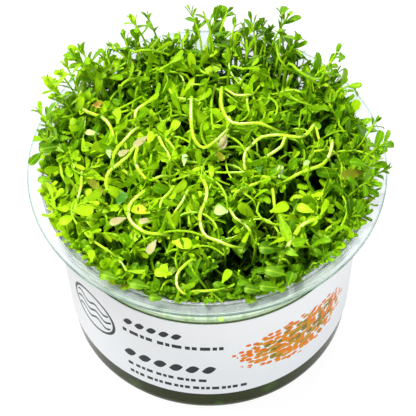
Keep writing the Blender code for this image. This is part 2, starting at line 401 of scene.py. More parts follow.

# %% [markdown]
# ## Clear plastic
#
# Thin clear plastic shows itself by its edges and by the faint rings that the mould leaves on
# the flange. Most of its light goes straight through, and the rest is scattered, which is what
# makes the flange look milky against the plants. The wall's foot is tinted by the gel behind it,
# and the cut edge of the flange is greener, because light travels far inside it. Where the wall
# shows under the bead, just over the label, it is painted dark olive: painted shade for the
# shaded stems seen through it. Just over the label some of the mat's light leaves through the
# wall, patchy where leaves touch it. A faint painted glow stands for it, dimmest in a thin line at
# the label's edge. One lime leaf is pressed to the wall there, and where it shows through the
# plastic a lime painted glow is laid.
#
# The rings are a bump whose height is a sine of the distance from the axis, on the flange only.

# %% Paint the cup
CLEAR_SHARE = 0.84
CLEAR_TINT = (0.875, 0.925, 0.945)
EDGE_TINT = (0.42, 0.62, 0.54)
EDGE_SHARE = 0.8
EDGE_RADII = (49.3, 49.8)
UNDER_BEAD_PAINTED_SHADE = (0.30, 0.38, 0.14)
UNDER_BEAD_SHADE_SHARE = 0.7
UNDER_BEAD_TOP = BEAD_HEIGHT - 1.0
FOOT_TINT = (0.10, 0.13, 0.012)
FOOT_HEIGHTS = (10.2, 11.4)
LINE_GLOW = (0.06, 0.12, 0.02)
LEAF_GLOW = (0.13, 0.21, 0.07)
PALE_GLOW = (0.30, 0.36, 0.25)
GLOW_STARTS = (49.3, 49.5)
LINE_ENDS = (50.0, 50.3)
GLOW_ENDS = (52.4, 53.4)
NO_GLOW = (0.0, 0.0, 0.0)
WALL_LEAF = (2.9, 51.4)
WALL_LEAF_SIZE = 0.75
WALL_LEAF_GLOW = (0.380, 0.720, 0.005)
PLASTIC_SHINE = (0.25, 0.25, 0.25, 1.0)
RING_SPACING = 0.62
RING_WANDER = 5.0
RING_DEPTH = 0.02
FLANGE_HEIGHTS = (CUP_HEIGHT - 3.0, CUP_HEIGHT - 1.0)


def clear_plastic():
    """Clear, slightly milky plastic with mould rings on its flange."""
    paint = Paint("clear_plastic", IOR=1.18, Transmission_Weight=CLEAR_SHARE)
    paint.feed(Specular_Tint=PLASTIC_SHINE, Specular_IOR_Level=0.2)
    spot, (x, y, z) = paint.place()
    radius = paint.away(x, y)
    clear = paint.blend(radius.step_up(*EDGE_RADII) * EDGE_SHARE, CLEAR_TINT, EDGE_TINT)
    # Just under the bead the wall is painted dark olive: painted shade for the shaded stems seen
    # through it.
    clear = paint.blend(z.below(UNDER_BEAD_TOP) * UNDER_BEAD_SHADE_SHARE, clear, UNDER_BEAD_PAINTED_SHADE)
    paint.feed(Base_Color=paint.blend(z.step_up(*FOOT_HEIGHTS), FOOT_TINT, clear))
    on_flange = z.step_up(*FLANGE_HEIGHTS)
    paint.feed(Roughness=0.08 + paint.cloud(spot, 14) * 0.08 + on_flange * 0.06)
    glow = paint.blend(paint.cloud(spot, 2.6).step_up(0.3, 0.5), LEAF_GLOW, PALE_GLOW)
    glow = paint.blend(z.step_up(*LINE_ENDS), LINE_GLOW, glow)
    # A lime painted glow shows the leaf that is pressed to the wall over the label.
    on_leaf = paint.away(x - WALL_LEAF[0], z - WALL_LEAF[1]).below(WALL_LEAF_SIZE)
    glow = paint.blend(on_leaf * y.below(0.0), glow, WALL_LEAF_GLOW)
    bare_wall = z.step_up(*GLOW_STARTS) * (1 - z.step_up(*GLOW_ENDS))
    paint.feed(Emission_Color=paint.blend(bare_wall, NO_GLOW, glow), Emission_Strength=1.0)
    wave = radius * (math.tau / RING_SPACING) + paint.cloud(spot, 9) * RING_WANDER
    paint.relief(wave.sine() * on_flange * 0.5 + 0.5, RING_DEPTH)
    return paint


dress(cup, clear_plastic(), "clear_plastic")
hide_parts("cup")

# %% [markdown]
# ## The label
#
# The label is a strip of white film wound round the tapering wall, with its ends a little apart
# at the back. A cone without ends is already that surface. The faces over the gap are deleted,
# and Solidify gives the film its thickness, outwards, so that it keeps clear of the wall.

# %% Model the label
label_low, label_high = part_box("label")
LABEL_FOOT = label_low.z / MM
LABEL_TOP = label_high.z / MM
LABEL_GAP = 0.3
LABEL_THICKNESS = 0.2
SEAM_HALF_ANGLE = math.radians(15)


def film_label():
    """Cone strip with an open seam at the back and the thickness of film."""
    deselect()
    middle = (LABEL_FOOT + LABEL_TOP) / 2 * MM
    bpy.ops.mesh.primitive_cone_add(
        vertices=FINE_SIDES, radius1=(wall_radius(LABEL_FOOT) + LABEL_GAP) * MM,
        radius2=(wall_radius(LABEL_TOP) + LABEL_GAP) * MM, depth=(LABEL_TOP - LABEL_FOOT) * MM,
        end_fill_type="NOTHING", location=(0, 0, middle))
    piece = bpy.context.active_object
    piece.name = "film_label"
    bpy.ops.object.transform_apply(location=True, rotation=True, scale=True)
    bpy.ops.object.mode_set(mode="EDIT")
    bpy.ops.mesh.select_mode(type="FACE")
    bpy.ops.mesh.select_all(action="DESELECT")
    bpy.ops.object.mode_set(mode="OBJECT")
    for face in piece.data.polygons:
        from_back = abs(math.atan2(face.center.x, face.center.y))
        face.select = from_back < SEAM_HALF_ANGLE
    bpy.ops.object.mode_set(mode="EDIT")
    bpy.ops.mesh.delete(type="FACE")
    bpy.ops.object.mode_set(mode="OBJECT")
    film = piece.modifiers.new("film", "SOLIDIFY")
    film.thickness = LABEL_THICKNESS * MM
    film.offset = 1.0
    bpy.ops.object.modifier_apply(modifier="film")
    bpy.ops.object.shade_smooth_by_angle(angle=SMOOTH_BELOW)
    return piece


label = film_label()
print("label runs from", round(LABEL_FOOT, 1), "to", round(LABEL_TOP, 1), "mm")

# %% [markdown]
# ## The print on the label
#
# The label carries a plain ornament. A round badge with waves stands on the left, beside it
# stand two chains of dark leaves and three rows of small dashes, and a patch of orange pebbles
# stands on the right. Towards its left end, which lies in a soft shade, the film is painted a
# little greyer. Towards its foot it is painted greyer too, as painted shade.
#
# The print is laid out flat, in mm along the film from the front and in mm of height. Every
# shape is a mask: a leaf of a chain is a lens, a dash is a box, and the pebbles are Voronoi
# cells, whose random colour picks the ink.

# %% Paint the label
FILM_WHITE = (0.885, 0.895, 0.91)
FILM_PAINTED_SHADE = (0.80, 0.83, 0.86)
FILM_SIDE = (0.74, 0.75, 0.765)
FILM_SIDE_FROM = (-38, -54)
INK = (0.022, 0.032, 0.030)
PRINT_RADIUS = 42.5
BADGE = (-38.0, 33.5, 8.6, 0.5)
BADGE_WAVES = (-3.4, 0.0, 3.4)
WAVE_PITCH = 0.95
WAVE_HEIGHT = 0.9
LEAF_CHAINS = (
    (-25.5, -7.5, 41.6, 1.5, 3.6),
    (-26.5, 2.0, 24.6, 1.9, 4.75),
)
CHAIN_SWING = 2.3
CHAIN_MIDDLE = 0.43
DASH_ROWS = (
    (-26.0, 3.5, 36.4, 0.85, 2.6),
    (-25.5, -1.5, 18.6, 0.75, 2.2),
    (-25.5, 10.5, 14.4, 0.75, 2.0),
)
DASH_SHARE = 0.7
DASH_PITCH = 0.9
DASH_WANDER = 0.22
PEBBLE_PATCH = (27.0, 30.0, 19.5, 10.0)
PEBBLE_SIZE = 2.1
PEBBLE_FLATNESS = 1.3
PEBBLE_JITTER = 0.75
PEBBLE_REACH = 0.65
PEBBLE_SHRINK = 0.24
PATCH_EDGE = 1.2
OLIVE_PULL = 0.35
PEBBLE_INKS = (
    (0.0, (0.76, 0.150, 0.0)),
    (0.4, (0.80, 0.235, 0.0)),
    (0.7, (0.62, 0.300, 0.0)),
    (1.0, (0.20, 0.170, 0.004)),
)


def badge_mask(paint, along, z):
    """A ring with waves inside it."""
    centre, middle, size, line = BADGE
    off_x, off_z = along - centre, z - middle
    from_badge = paint.away(off_x, off_z)
    mask = abs(from_badge - size).below(line)
    swell = (off_x * WAVE_PITCH).sine() * WAVE_HEIGHT
    for level in BADGE_WAVES:
        wave = abs(off_z - level - swell).below(line)
        mask = mask + wave * from_badge.below(size - 2 * line)
    return mask


def between(along, start, end):
    """1 between the two ends of a row."""
    return abs(along - (start + end) / 2).below((end - start) / 2)


def row_masks(along, z):
    """The chains of lens-shaped leaves and the rows of dashes of uneven length."""
    mask = 0.0
    for start, end, height, half, step in LEAF_CHAINS:
        part = ((along - start) / step).part()
        swing = part * CHAIN_SWING - 1.0
        tilt = (part - CHAIN_MIDDLE) * half
        lens = abs(z - height - tilt).below((1 - swing * swing) * half)
        mask = mask + between(along, start, end) * lens
    for start, end, height, half, step in DASH_ROWS:
        uneven = (along * DASH_PITCH + height).sine() * DASH_WANDER
        part = ((along - start) / step + uneven).part()
        dash = part.below(DASH_SHARE) * abs(z - height).below(half)
        mask = mask + between(along, start, end) * dash
    return mask


def pebble_masks(paint, along, z):
    """Where the pebbles are, and the value that picks their ink, olive more in the middle."""
    patch_x, patch_z, patch_wide, patch_high = PEBBLE_PATCH
    over_x, over_z = (along - patch_x) / patch_wide, (z - patch_z) / patch_high
    flat = paint.node("ShaderNodeCombineXYZ", None, {0: along, 1: z * PEBBLE_FLATNESS})
    settings = {"voronoi_dimensions": "2D"}
    values = {"Vector": flat, "Scale": 1 / PEBBLE_SIZE, "Randomness": PEBBLE_JITTER}
    distance = paint.node("ShaderNodeTexVoronoi", settings, values, "Distance")
    cell_colour = paint.node("ShaderNodeTexVoronoi", settings, values, "Color")
    cell_value = paint.node("ShaderNodeSeparateColor", None, {0: cell_colour})
    outness = over_x * over_x + over_z * over_z
    pebbles = distance.below(PEBBLE_REACH - outness * PEBBLE_SHRINK)
    in_patch = (outness + cell_value * 0.5).below(PATCH_EDGE)
    return pebbles * in_patch, cell_value + (0.5 - outness) * OLIVE_PULL


def printed_film():
    """White film with a badge, leaf chains, dashes and orange pebbles."""
    paint = Paint("printed_film", IOR=1.45, Specular_IOR_Level=0.08)
    spot, (x, y, z) = paint.place()
    along = x.maths("ARCTAN2", x, y * -1) * PRINT_RADIUS
    pebbles, pick = pebble_masks(paint, along, z)
    dark = badge_mask(paint, along, z) + row_masks(along, z)
    # Painted shade: the film is painted greyer towards its foot and towards its left end.
    film = paint.blend(z.step_up(LABEL_TOP, LABEL_FOOT), FILM_WHITE, FILM_PAINTED_SHADE)
    film = paint.blend(along.step_up(*FILM_SIDE_FROM), film, FILM_SIDE)
    inked = paint.blend(pebbles, film, paint.ramp(pick, PEBBLE_INKS))
    inked = paint.blend(dark.above(0.5), inked, INK)
    paint.feed(Base_Color=inked, Roughness=0.32 + paint.cloud(spot, 3) * 0.1)
    paint.relief(paint.cloud(spot, 8, 2.0), 0.05, 0.3)
    return paint


dress(label, printed_film(), "label_film")
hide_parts("label")
print("print:", len(LEAF_CHAINS), "leaf chains and", len(DASH_ROWS), "rows of dashes")

# %% [markdown]
# ## Nutrient gel
#
# The stems are rooted in a soft gel. Through the clear band under the label it looks dark olive,
# with browner patches where roots lie against the wall, and a few green leaves sunk at the front.
#
# It fills the cup's rounded foot and climbs a little at the wall, as a set gel does. It clings to
# the plastic, so its side goes a tenth of a millimetre into it: with air between them, the wall
# would mirror the floor instead of showing the gel.

# %% Model and paint the gel
GEL_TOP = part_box("nutrient_gel")[1].z / MM
GEL_CLINGING = 0.1
GEL_GREENS = (
    (0.25, (0.015, 0.016, 0.003)),
    (0.45, (0.060, 0.075, 0.012)),
    (0.60, (0.110, 0.160, 0.020)),
    (0.80, (0.200, 0.130, 0.050)),
)
GEL_LEAF_GREEN = (0.400, 0.850, 0.010)
GEL_LEAF_SHARE = 0.9
GEL_SIDES = 96
GEL_EDGE = ((0.0, 0.0), (0.5, 0.35), (1.6, 0.7), (4.0, 0.8))
GEL_LEAVES = ((16.5, 7.0, 3.6), (2.0, 3.5, 2.6), (-22.0, 5.0, 3.0))


def gel_outline():
    """Outline of the gel inside the cup's wall, with a raised edge where it wets the wall."""
    centre = WALL_FOOT_RADIUS - CORNER_RADIUS
    inside = WALL - GEL_CLINGING
    outline = corner_points(CORNER_RADIUS - inside, centre, inside, steps=5)
    edge = wall_radius(GEL_TOP) - inside
    return outline + [(edge - inward, GEL_TOP - down) for inward, down in GEL_EDGE]


def nutrient_gel():
    """Olive gel with darker, browner and greener patches."""
    paint = Paint("olive_gel", IOR=1.34, Specular_IOR_Level=0.05)
    spot, (x, y, z) = paint.place()
    patches = paint.cloud(spot, 11, 4.0, 0.6)
    colour = paint.ramp(patches, GEL_GREENS)
    for leaf_x, leaf_z, size in GEL_LEAVES:
        edge = paint.away(x - leaf_x, z - leaf_z) + patches * size
        green = edge.step_up(size * 1.5, size * 0.6) * y.below(0.0)
        colour = paint.blend(green * GEL_LEAF_SHARE, colour, GEL_LEAF_GREEN)
    paint.feed(Base_Color=colour, Roughness=0.22 + paint.cloud(spot, 2) * 0.2)
    paint.relief(paint.cloud(spot, 1.6), 0.3, 0.5)
    return paint


gel = turned_piece("gel", gel_outline(), GEL_SIDES)
dress(gel, nutrient_gel(), "nutrient_gel")
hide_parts("nutrient_gel")
print("gel is", round(GEL_TOP, 1), "mm high")

# %% [markdown]
# ## One leaf
#
# A rotala leaf is a small spoon: a narrow foot, a blade that is widest past its middle, and a
# round tip. Thousands are seen, so the pattern leaf has only a few dozen faces, and it is closed,
# with a fold along its middle and a keel below.
#
# It starts as a disc of four corners stood on edge, and is extruded and scaled station by
# station. The last ring is merged to the tip. Its points are then read once: x is across from
# -1 to 1, y is along from 0 to 1, and z is the thickness, also from -1 to 1.

# %% Model the pattern leaf
LEAF_STATIONS = ((0.14, 0.32, 1.0), (0.33, 0.72, 0.8), (0.55, 0.97, 0.7), (0.76, 1.0, 0.6),
                 (0.91, 0.77, 0.5), (0.975, 0.43, 0.4))
LEAF_FOOT_WIDTH = 0.24


def pattern_leaf():
    """Points and faces of the leaf that all others copy."""
    deselect()
    bpy.ops.mesh.primitive_circle_add(vertices=4, radius=1.0, fill_type="NGON",
                                      rotation=(math.pi / 2, 0, 0))
    piece = bpy.context.active_object
    piece.scale = (LEAF_FOOT_WIDTH, 1.0, 1.0)
    bpy.ops.object.transform_apply(location=True, rotation=True, scale=True)
    bpy.ops.object.mode_set(mode="EDIT")
    bpy.ops.mesh.select_all(action="SELECT")
    along, wide, thick = 0.0, LEAF_FOOT_WIDTH, 1.0
    for place, width, thickness in LEAF_STATIONS:
        bpy.ops.mesh.extrude_region_move(TRANSFORM_OT_translate={"value": (0, place - along, 0)})
        bpy.ops.transform.resize(value=(width / wide, 1, thickness / thick),
                                 center_override=(0, place, 0))
        along, wide, thick = place, width, thickness
    bpy.ops.mesh.extrude_region_move(TRANSFORM_OT_translate={"value": (0, 1.0 - along, 0)})
    bpy.ops.mesh.merge(type="CENTER")
    bpy.ops.mesh.select_all(action="SELECT")
    bpy.ops.mesh.normals_make_consistent(inside=False)
    bpy.ops.object.mode_set(mode="OBJECT")
    points = np.array([vert.co for vert in piece.data.vertices])
    faces = [tuple(face.vertices) for face in piece.data.polygons]
    bpy.data.objects.remove(piece)
    return points, faces


leaf_points, leaf_faces = pattern_leaf()
print("pattern leaf:", len(leaf_points), "points,", len(leaf_faces), "faces")

# %% [markdown]
# ## Room for the plants
#
# Leaves that would pass through the cup are pressed against it, as the real ones are. The room
# is a radius for every height: the tapering wall, the step of the lid seat, the rim, and then a
# reach over the flange. Points near the limit are slowed down smoothly, so that no leaf is
# flattened.
#
# The mat's own surface is a height for every place. It is about level with the rim in front and
# rises a little towards the back and the sides.

# %% Say where leaves may be
MAT_RADIUS = 41.5
MAT_OVER_CUP = 1.2
BACK_RISE = 2.2
SIDE_RISE = 2.0
RIM_CLEARANCE = 0.25
SOFT_EDGE = 1.5
REACH_OVER_FLANGE = 51.5
ROOM_HEIGHTS = (CORNER_RADIUS, SHOULDER - 0.5, CUP_HEIGHT - 2.9, CUP_HEIGHT + 0.2, CUP_HEIGHT + 2.6)
ROOM_RADII = (WALL_FOOT_RADIUS - WALL - RIM_CLEARANCE, WALL_TOP_RADIUS - WALL - RIM_CLEARANCE,
              SEAT_RADIUS - 1.5 - RIM_CLEARANCE, RIM_RADIUS - 0.4 - RIM_CLEARANCE, REACH_OVER_FLANGE)


def keep_in_cup(points):
    """Bring points that would pass through the cup back inside it."""
    radius = np.hypot(points[:, 0], points[:, 1])
    free = np.interp(points[:, 2], ROOM_HEIGHTS, ROOM_RADII) - SOFT_EDGE
    over = np.maximum(radius - free, 0.0)
    kept = np.minimum(radius, free) + SOFT_EDGE * (1 - np.exp(-over / SOFT_EDGE))
    points[:, :2] *= (kept / np.maximum(radius, 0.001))[:, None]
    return points


def mat_height(x, y):
    """Height of the mat's surface above the floor, in mm."""
    backness = np.maximum(y / MAT_RADIUS, 0.0)
    sideness = abs(x) / MAT_RADIUS
    return CUP_HEIGHT + MAT_OVER_CUP + BACK_RISE * backness + SIDE_RISE * sideness ** 2


print("room at the rim:", round(ROOM_RADII[3], 2), "mm")

# %% [markdown]
# ## Hollows in the mat
#
# The picture has hollows where one looks past the leaves into the shade. Each was measured as a
# flat ellipse, by the pixel of its middle, its width and its height. The mat is seen at a slant,
# so a pixel is deeper than it is wide there, and the two sizes have scales of their own. A hollow
# also reaches a little further back than it looks, because one looks in under its far edge.
#
# Shoots that would stand in a hollow are moved to its edge, and leaves that would cover it are
# left out.

# %% Measure the hollows
HOLLOWS = (
    (222, 272, 30, 22), (243, 262, 34, 30), (262, 271, 26, 18), (230, 160, 22, 33),
    (309, 262, 22, 16), (270, 240, 27, 24), (283, 80, 22, 22), (233, 82, 33, 19),
    (262, 219, 21, 14), (325, 135, 14, 21), (123, 108, 26, 24), (285, 150, 24, 21),
    (247, 57, 20, 15), (318, 179, 15, 17), (206, 168, 14, 18), (226, 183, 23, 15),
    (310, 142, 15, 14), (258, 152, 18, 19), (180, 145, 16, 16), (284, 204, 28, 15),
    (276, 117, 19, 11), (165, 282, 14, 14), (172, 258, 13, 21), (300, 90, 18, 18),
    (184, 234, 12, 25), (326, 230, 10, 10), (208, 297, 27, 6), (185, 282, 9, 14),
    (303, 110, 11, 10), (232, 236, 12, 10), (333, 159, 9, 14), (172, 112, 11, 10),
    (338, 181, 9, 10), (166, 185, 16, 9), (206, 247, 11, 8), (222, 223, 9, 10),
    (206, 50, 20, 12), (188, 56, 8, 6), (181, 42, 8, 8), (226, 40, 9, 9), (237, 33, 8, 8),
    (139, 47, 9, 6), (120, 65, 8, 6), (269, 34, 9, 8),
)
PIXELS_PER_MM = 3.6
PIXELS_PER_MM_DEEP = 2.86
SEEN_HEIGHT = CUP_HEIGHT + 1
HOLLOW_BACK = 1.5
HOLLOW_DROP = 5.0
NEAREST_SHARE = 0.1


def place_seen(pixel_x, pixel_y):
    """The place on the mat, in mm, that is seen at a pixel."""
    x, y, _ = seen_at(pixel_x, pixel_y, SEEN_HEIGHT * MM) / MM
    return x, y


hollows = []
for pixel_x, pixel_y, wide, deep in HOLLOWS:
    x, y = place_seen(pixel_x, pixel_y)
    hollows.append((x, y + HOLLOW_BACK, wide / 2 / PIXELS_PER_MM,
                    deep / 2 / PIXELS_PER_MM_DEEP + HOLLOW_BACK))


def out_of_hollows(x, y):
    """The place itself, or the nearest edge of the hollow that it lies in."""
    for hollow_x, hollow_y, half_wide, half_deep in hollows:
        off_x, off_y = x - hollow_x, y - hollow_y
        away = math.hypot(off_x / half_wide, off_y / half_deep)
        if away < 1.0:
            push = 1.0 / max(away, NEAREST_SHARE) - 1.0
            x += off_x * push
            y += off_y * push
    return x, y


def in_hollow(x, y):
    """Whether a place lies in a hollow."""
    return out_of_hollows(x, y) != (x, y)


def covers_hollow(spot):
    """Whether a spot near the mat's surface lies in a hollow."""
    x, y, z = spot
    return z > mat_height(x, y) - HOLLOW_DROP and in_hollow(x, y)


print("hollows:", len(hollows))

# %% [markdown]
# ## Bunches that collect leaves and stems
#
# Each bunch of stems becomes one mesh, joined from arrays. A bunch takes in blades and stems
# with three values for every point: `tint` picks the green, and `stem` tells a stem from a leaf.
# `across` runs over a blade and draws its midrib, and on a stem it is 1 on the side that looks
# up, where a painted highlight is laid.
#
# Blades and stems below the mat's surface get little light, so their colour is painted darker
# with their depth, as painted shade, and less so near the clear wall, where light comes in from
# the side. A tint above ODD_TINT stands for a dry leaf, a pale leaf that is in part a painted
# sheen, or a deep green leaf with a painted glint, and keeps its colour at any depth.

# %% Collect the points of a bunch
LEAF_THICKNESS = 0.16
LEAF_CUPPING = 0.35
SMALLEST_CURL = 0.01
ODD_TINT = 1.2
SHARP_FROM = math.radians(50)
LIT_DEPTH = 1.5
MIDDLE_SHADE = 1.15
WALL_SHADE = 0.55
LEAF_PAINTED_SHADE = 0.066


class Bunch:
    """Points, faces and values of one bunch, collected in mm before they become a mesh."""

    def __init__(self, name):
        self.name = name
        self.points = []
        self.faces = []
        self.values = {"tint": [], "across": [], "stem": []}
        self.count = 0

    def add(self, points, faces, tint, across, stem):
        """Take in one closed shape. Tint and across are arrays, stem is one number."""
        self.points.append(points)
        self.faces += [tuple(corner + self.count for corner in face) for face in faces]
        self.values["tint"].append(tint)
        self.values["across"].append(across)
        self.values["stem"].append(np.full(len(points), stem))
        self.count += len(points)

    def mesh(self):
        """The collected shapes as one mesh in metres."""
        made = bpy.data.meshes.new(self.name)
        points = keep_in_cup(np.concatenate(self.points)) * MM
        made.from_pydata(points.tolist(), [], self.faces)
        for name, parts in self.values.items():
            values = np.concatenate(parts).astype(np.float32)
            made.attributes.new(name, "FLOAT", "POINT").data.foreach_set("value", values)
        made.shade_smooth()
        made.set_sharp_from_angle(angle=SHARP_FROM)
        return made


def unit(vector):
    """The vector at length 1."""
    return vector / max(np.linalg.norm(vector), 1e-9)


def shade_in_mat(points):
    """Depth below the lit top of the mat in mm, weighed less near the clear wall."""
    x, y, z = points.T
    depth = np.maximum(mat_height(x, y) - LIT_DEPTH - z, 0.0)
    return depth * (MIDDLE_SHADE + (WALL_SHADE - MIDDLE_SHADE) * (x * x + y * y) / MAT_RADIUS ** 2)


def add_leaf(bunch, base, heading, face_up, length, width, curl, tint):
    """Bend the pattern leaf along an arc and lay it from a base along a heading."""
    side = unit(np.cross(heading, face_up))
    normal = np.cross(side, heading)
    across, along, thick = leaf_points.T
    turn = curl * along
    bend = curl if abs(curl) > SMALLEST_CURL else SMALLEST_CURL
    forward = length * np.sin(bend * along) / bend
    drop = length * (1 - np.cos(bend * along)) / bend
    over = thick * LEAF_THICKNESS + LEAF_CUPPING * width / 2 * across ** 2 * along
    points = base + np.outer(forward, heading) - np.outer(drop, normal)
    points += np.outer(across * width / 2, side)
    points += over[:, None] * (np.outer(np.cos(turn), normal) + np.outer(np.sin(turn), heading))
    # Painted shade: a blade deep in the mat is painted darker, less so near the clear wall.
    if tint < ODD_TINT:
        tint = max(tint - LEAF_PAINTED_SHADE * shade_in_mat(points).mean(), 0.0)
    bunch.add(points, leaf_faces, np.full(len(points), tint), across, 0.0)


middle_and_wall = np.array(((0.0, 0.0, CUP_HEIGHT - 5.0), (0.0, -MAT_RADIUS, CUP_HEIGHT - 5.0)))
print("shade 5 mm down, in the middle and at the wall:", shade_in_mat(middle_and_wall).round(2))

# %% [markdown]
# ## Stems
#
# A stem is a thin tube along a smooth path. A curve with a bevel could draw it, but there are
# hundreds, and a bunch takes in arrays. So the rings are placed in code: they are carried along
# the path without twisting, and both ends are closed.

# %% Draw a stem
STEM_SIDES = 6
STEM_PAINTED_SHADE = 0.06
PATH_SPACING = 2.0


def smooth_path(points, spacing):
    """A Catmull-Rom curve through the points, with a point about every spacing mm."""
    points = [np.array(point, float) for point in points]
    ends = [2 * points[0] - points[1], *points, 2 * points[-1] - points[-2]]
    path = []
    for a, b, c, d in zip(ends, ends[1:], ends[2:], ends[3:]):
        steps = max(2, round(np.linalg.norm(c - b) / spacing))
        for step in range(steps):
            t = step / steps
            path.append(0.5 * (2 * b + (c - a) * t + (2 * a - 5 * b + 4 * c - d) * t ** 2
                               + (3 * b - a - 3 * c + d) * t ** 3))
    path.append(points[-1])
    return np.array(path)


def carried_frames(path):
    """Tangent and two side vectors at each point of a path, without twist."""
    tangents = np.gradient(path, axis=0)
    tangents /= np.linalg.norm(tangents, axis=1)[:, None]
    start = np.array((1.0, 0.0, 0.0)) if abs(tangents[0][0]) < 0.8 else np.array((0.0, 1.0, 0.0))
    firsts = []
    for tangent in tangents:
        start = unit(start - tangent * start.dot(tangent))
        firsts.append(start)
    firsts = np.array(firsts)
    return tangents, firsts, np.cross(tangents, firsts)


def add_stem(bunch, path, radius, tip_radius, tint, tip_tint):
    """Closed tube along a path that thins towards its tip."""
    _, firsts, seconds = carried_frames(path)
    count = len(path)
    shares = np.linspace(0, 1, count)
    radii = radius + (tip_radius - radius) * shares
    turns = np.arange(STEM_SIDES) * math.tau / STEM_SIDES
    rings = (firsts[:, None] * np.cos(turns)[None, :, None]
             + seconds[:, None] * np.sin(turns)[None, :, None])
    points = (path[:, None] + rings * radii[:, None, None]).reshape(-1, 3)
    faces = [tuple(range(STEM_SIDES))[::-1]]
    for low in range(0, (count - 1) * STEM_SIDES, STEM_SIDES):
        high = low + STEM_SIDES
        for k in range(STEM_SIDES):
            n = (k + 1) % STEM_SIDES
            faces.append((low + k, low + n, high + n, high + k))
    last = (count - 1) * STEM_SIDES
    faces.append(tuple(range(last, last + STEM_SIDES)))
    tints = np.repeat(tint + (tip_tint - tint) * shares, STEM_SIDES)
    # Painted shade: the stem is painted darker where it runs deep in the mat.
    tints = np.maximum(tints - STEM_PAINTED_SHADE * shade_in_mat(points), 0.0)
    bunch.add(points, faces, tints, rings[:, :, 2].reshape(-1), 1.0)


test_path = smooth_path([(0, 0, 0), (0, 0, 30), (10, 0, 60)], PATH_SPACING)
print("a path through 3 points becomes", len(test_path), "points")

# %% [markdown]
# ## Shoots
#
# A shoot is a stem with pairs of opposite leaves, each pair crossed with the one below. Towards
# the tip the pairs stand closer, the leaves are smaller and steeper, and their green is more
# yellow. So the pairs are counted down from the tip, and each has a step down the stem in mm, a
# size and an angle from the stem. Lower pairs have lost a leaf here and there, and every leaf
# turns its face a little to the light.

# %% Grow a shoot
LEAF_PAIRS = (
    (0.4, 0.42, 16), (1.0, 0.62, 30), (1.6, 0.84, 44),
    (2.2, 1.0, 56), (2.7, 1.0, 64), (3.0, 0.96, 72),
)
STEM_THINNING = 0.6
STEM_SHADE = 0.1
STEP_VARIETY = (0.75, 1.3)
TURN_VARIETY = (-0.4, 0.4)
ANGLE_VARIETY = (-18, 22)
LENGTH_VARIETY = (0.75, 1.2)
WIDTH_VARIETY = (0.8, 1.25)
CURL_VARIETY = (-0.3, 1.1)
TINT_VARIETY = (-0.13, 0.13)
BARE_FOOT = 0.05
WHOLE_PAIRS = 2
LOST_LEAVES = 0.08
LOST_PER_PAIR = 0.03
LEAF_SEAT = 0.4
LEAF_MIDDLE = 0.6
LONGEST_LEAF = 7.4
WIDEST_LEAF = 2.9
BRIGHTEST_TINT = 1.05
AGE_SHADE = 0.25
OLDEST_PAIR = 11
LEAF_TWIST = 0.35
FACING_UP = np.array((0.0, 0.0, 0.45))


def read_along(place, lengths, rows):
    """The row of values at a place along a path, between the rows at its points."""
    return np.array([np.interp(place, lengths, column) for column in rows.T])


def leaf_pose(up_stem, out, spread, chance):
    """Which way a leaf points, at about this angle from its stem, and where its face looks."""
    angle = math.radians(spread + chance.uniform(*ANGLE_VARIETY))
    heading = up_stem * math.cos(angle) + out * math.sin(angle)
    face_up = up_stem * math.sin(angle) - out * math.cos(angle)
    sideways = np.cross(face_up, heading) * chance.gauss(0, LEAF_TWIST)
    face_up = unit(face_up + sideways + FACING_UP)
    return heading, unit(face_up - heading * face_up.dot(heading))


def add_shoot(bunch, route, chance, leaf_length, tint, stem_tint, radius, pairs, slimness, stretch):
    """Stem along a route with crossed pairs of leaves down from its tip."""
    path = smooth_path(route, PATH_SPACING)
    add_stem(bunch, path, radius, radius * STEM_THINNING, stem_tint - STEM_SHADE, stem_tint)
    tangents, firsts, _ = carried_frames(path)
    lengths = np.concatenate(([0.0], np.cumsum(np.linalg.norm(np.diff(path, axis=0), axis=1))))
    first_turn = chance.uniform(0, math.tau)
    back = 0.0
    for pair, (step, size, spread) in enumerate(LEAF_PAIRS[:pairs]):
        back += step * stretch * chance.uniform(*STEP_VARIETY)
        place = lengths[-1] - back
        if place < lengths[-1] * BARE_FOOT:
            return
        node = read_along(place, lengths, path)
        up_stem = unit(read_along(place, lengths, tangents))
        first = read_along(place, lengths, firsts)
        first = unit(first - up_stem * first.dot(up_stem))
        second = np.cross(up_stem, first)
        turn = first_turn + math.pi / 2 * pair + chance.uniform(*TURN_VARIETY)
        for half in (0.0, math.pi):
            if pair >= WHOLE_PAIRS and chance.random() < LOST_LEAVES + LOST_PER_PAIR * pair:
                continue
            out = first * math.cos(turn + half) + second * math.sin(turn + half)
            heading, face_up = leaf_pose(up_stem, out, spread, chance)
            length = min(leaf_length * size * chance.uniform(*LENGTH_VARIETY), LONGEST_LEAF)
            width = min(length * slimness * chance.uniform(*WIDTH_VARIETY), WIDEST_LEAF)
            curl = chance.uniform(*CURL_VARIETY)
            shade = tint - pair / OLDEST_PAIR * AGE_SHADE + chance.uniform(*TINT_VARIETY)
            if not covers_hollow(node + heading * length * LEAF_MIDDLE):
                add_leaf(bunch, node + out * radius * LEAF_SEAT, heading, face_up, length, width,
                         curl, min(shade, BRIGHTEST_TINT))


print("leaf pairs on the longest shoot:", len(LEAF_PAIRS))

# %% [markdown]
# ## The bunches and their ground
#
# The frame has forty bunches standing on the gel, and each is replaced by one mesh of real
# shoots. A shoot belongs to the bunch whose foot is nearest, so every mesh stays where its
# solid is. The foot is read from the lowest ring of the solid.

# %% Find the foot of every bunch
LOWEST_RING = 0.5 * MM


def foot_of(node):
    """Middle of a node's lowest ring of points, in mm."""
    points = np.array([vert.co for vert in frame["nodes"][node].data.vertices])
    lowest = points[points[:, 2] < points[:, 2].min() + LOWEST_RING]
    return lowest.mean(axis=0) / MM


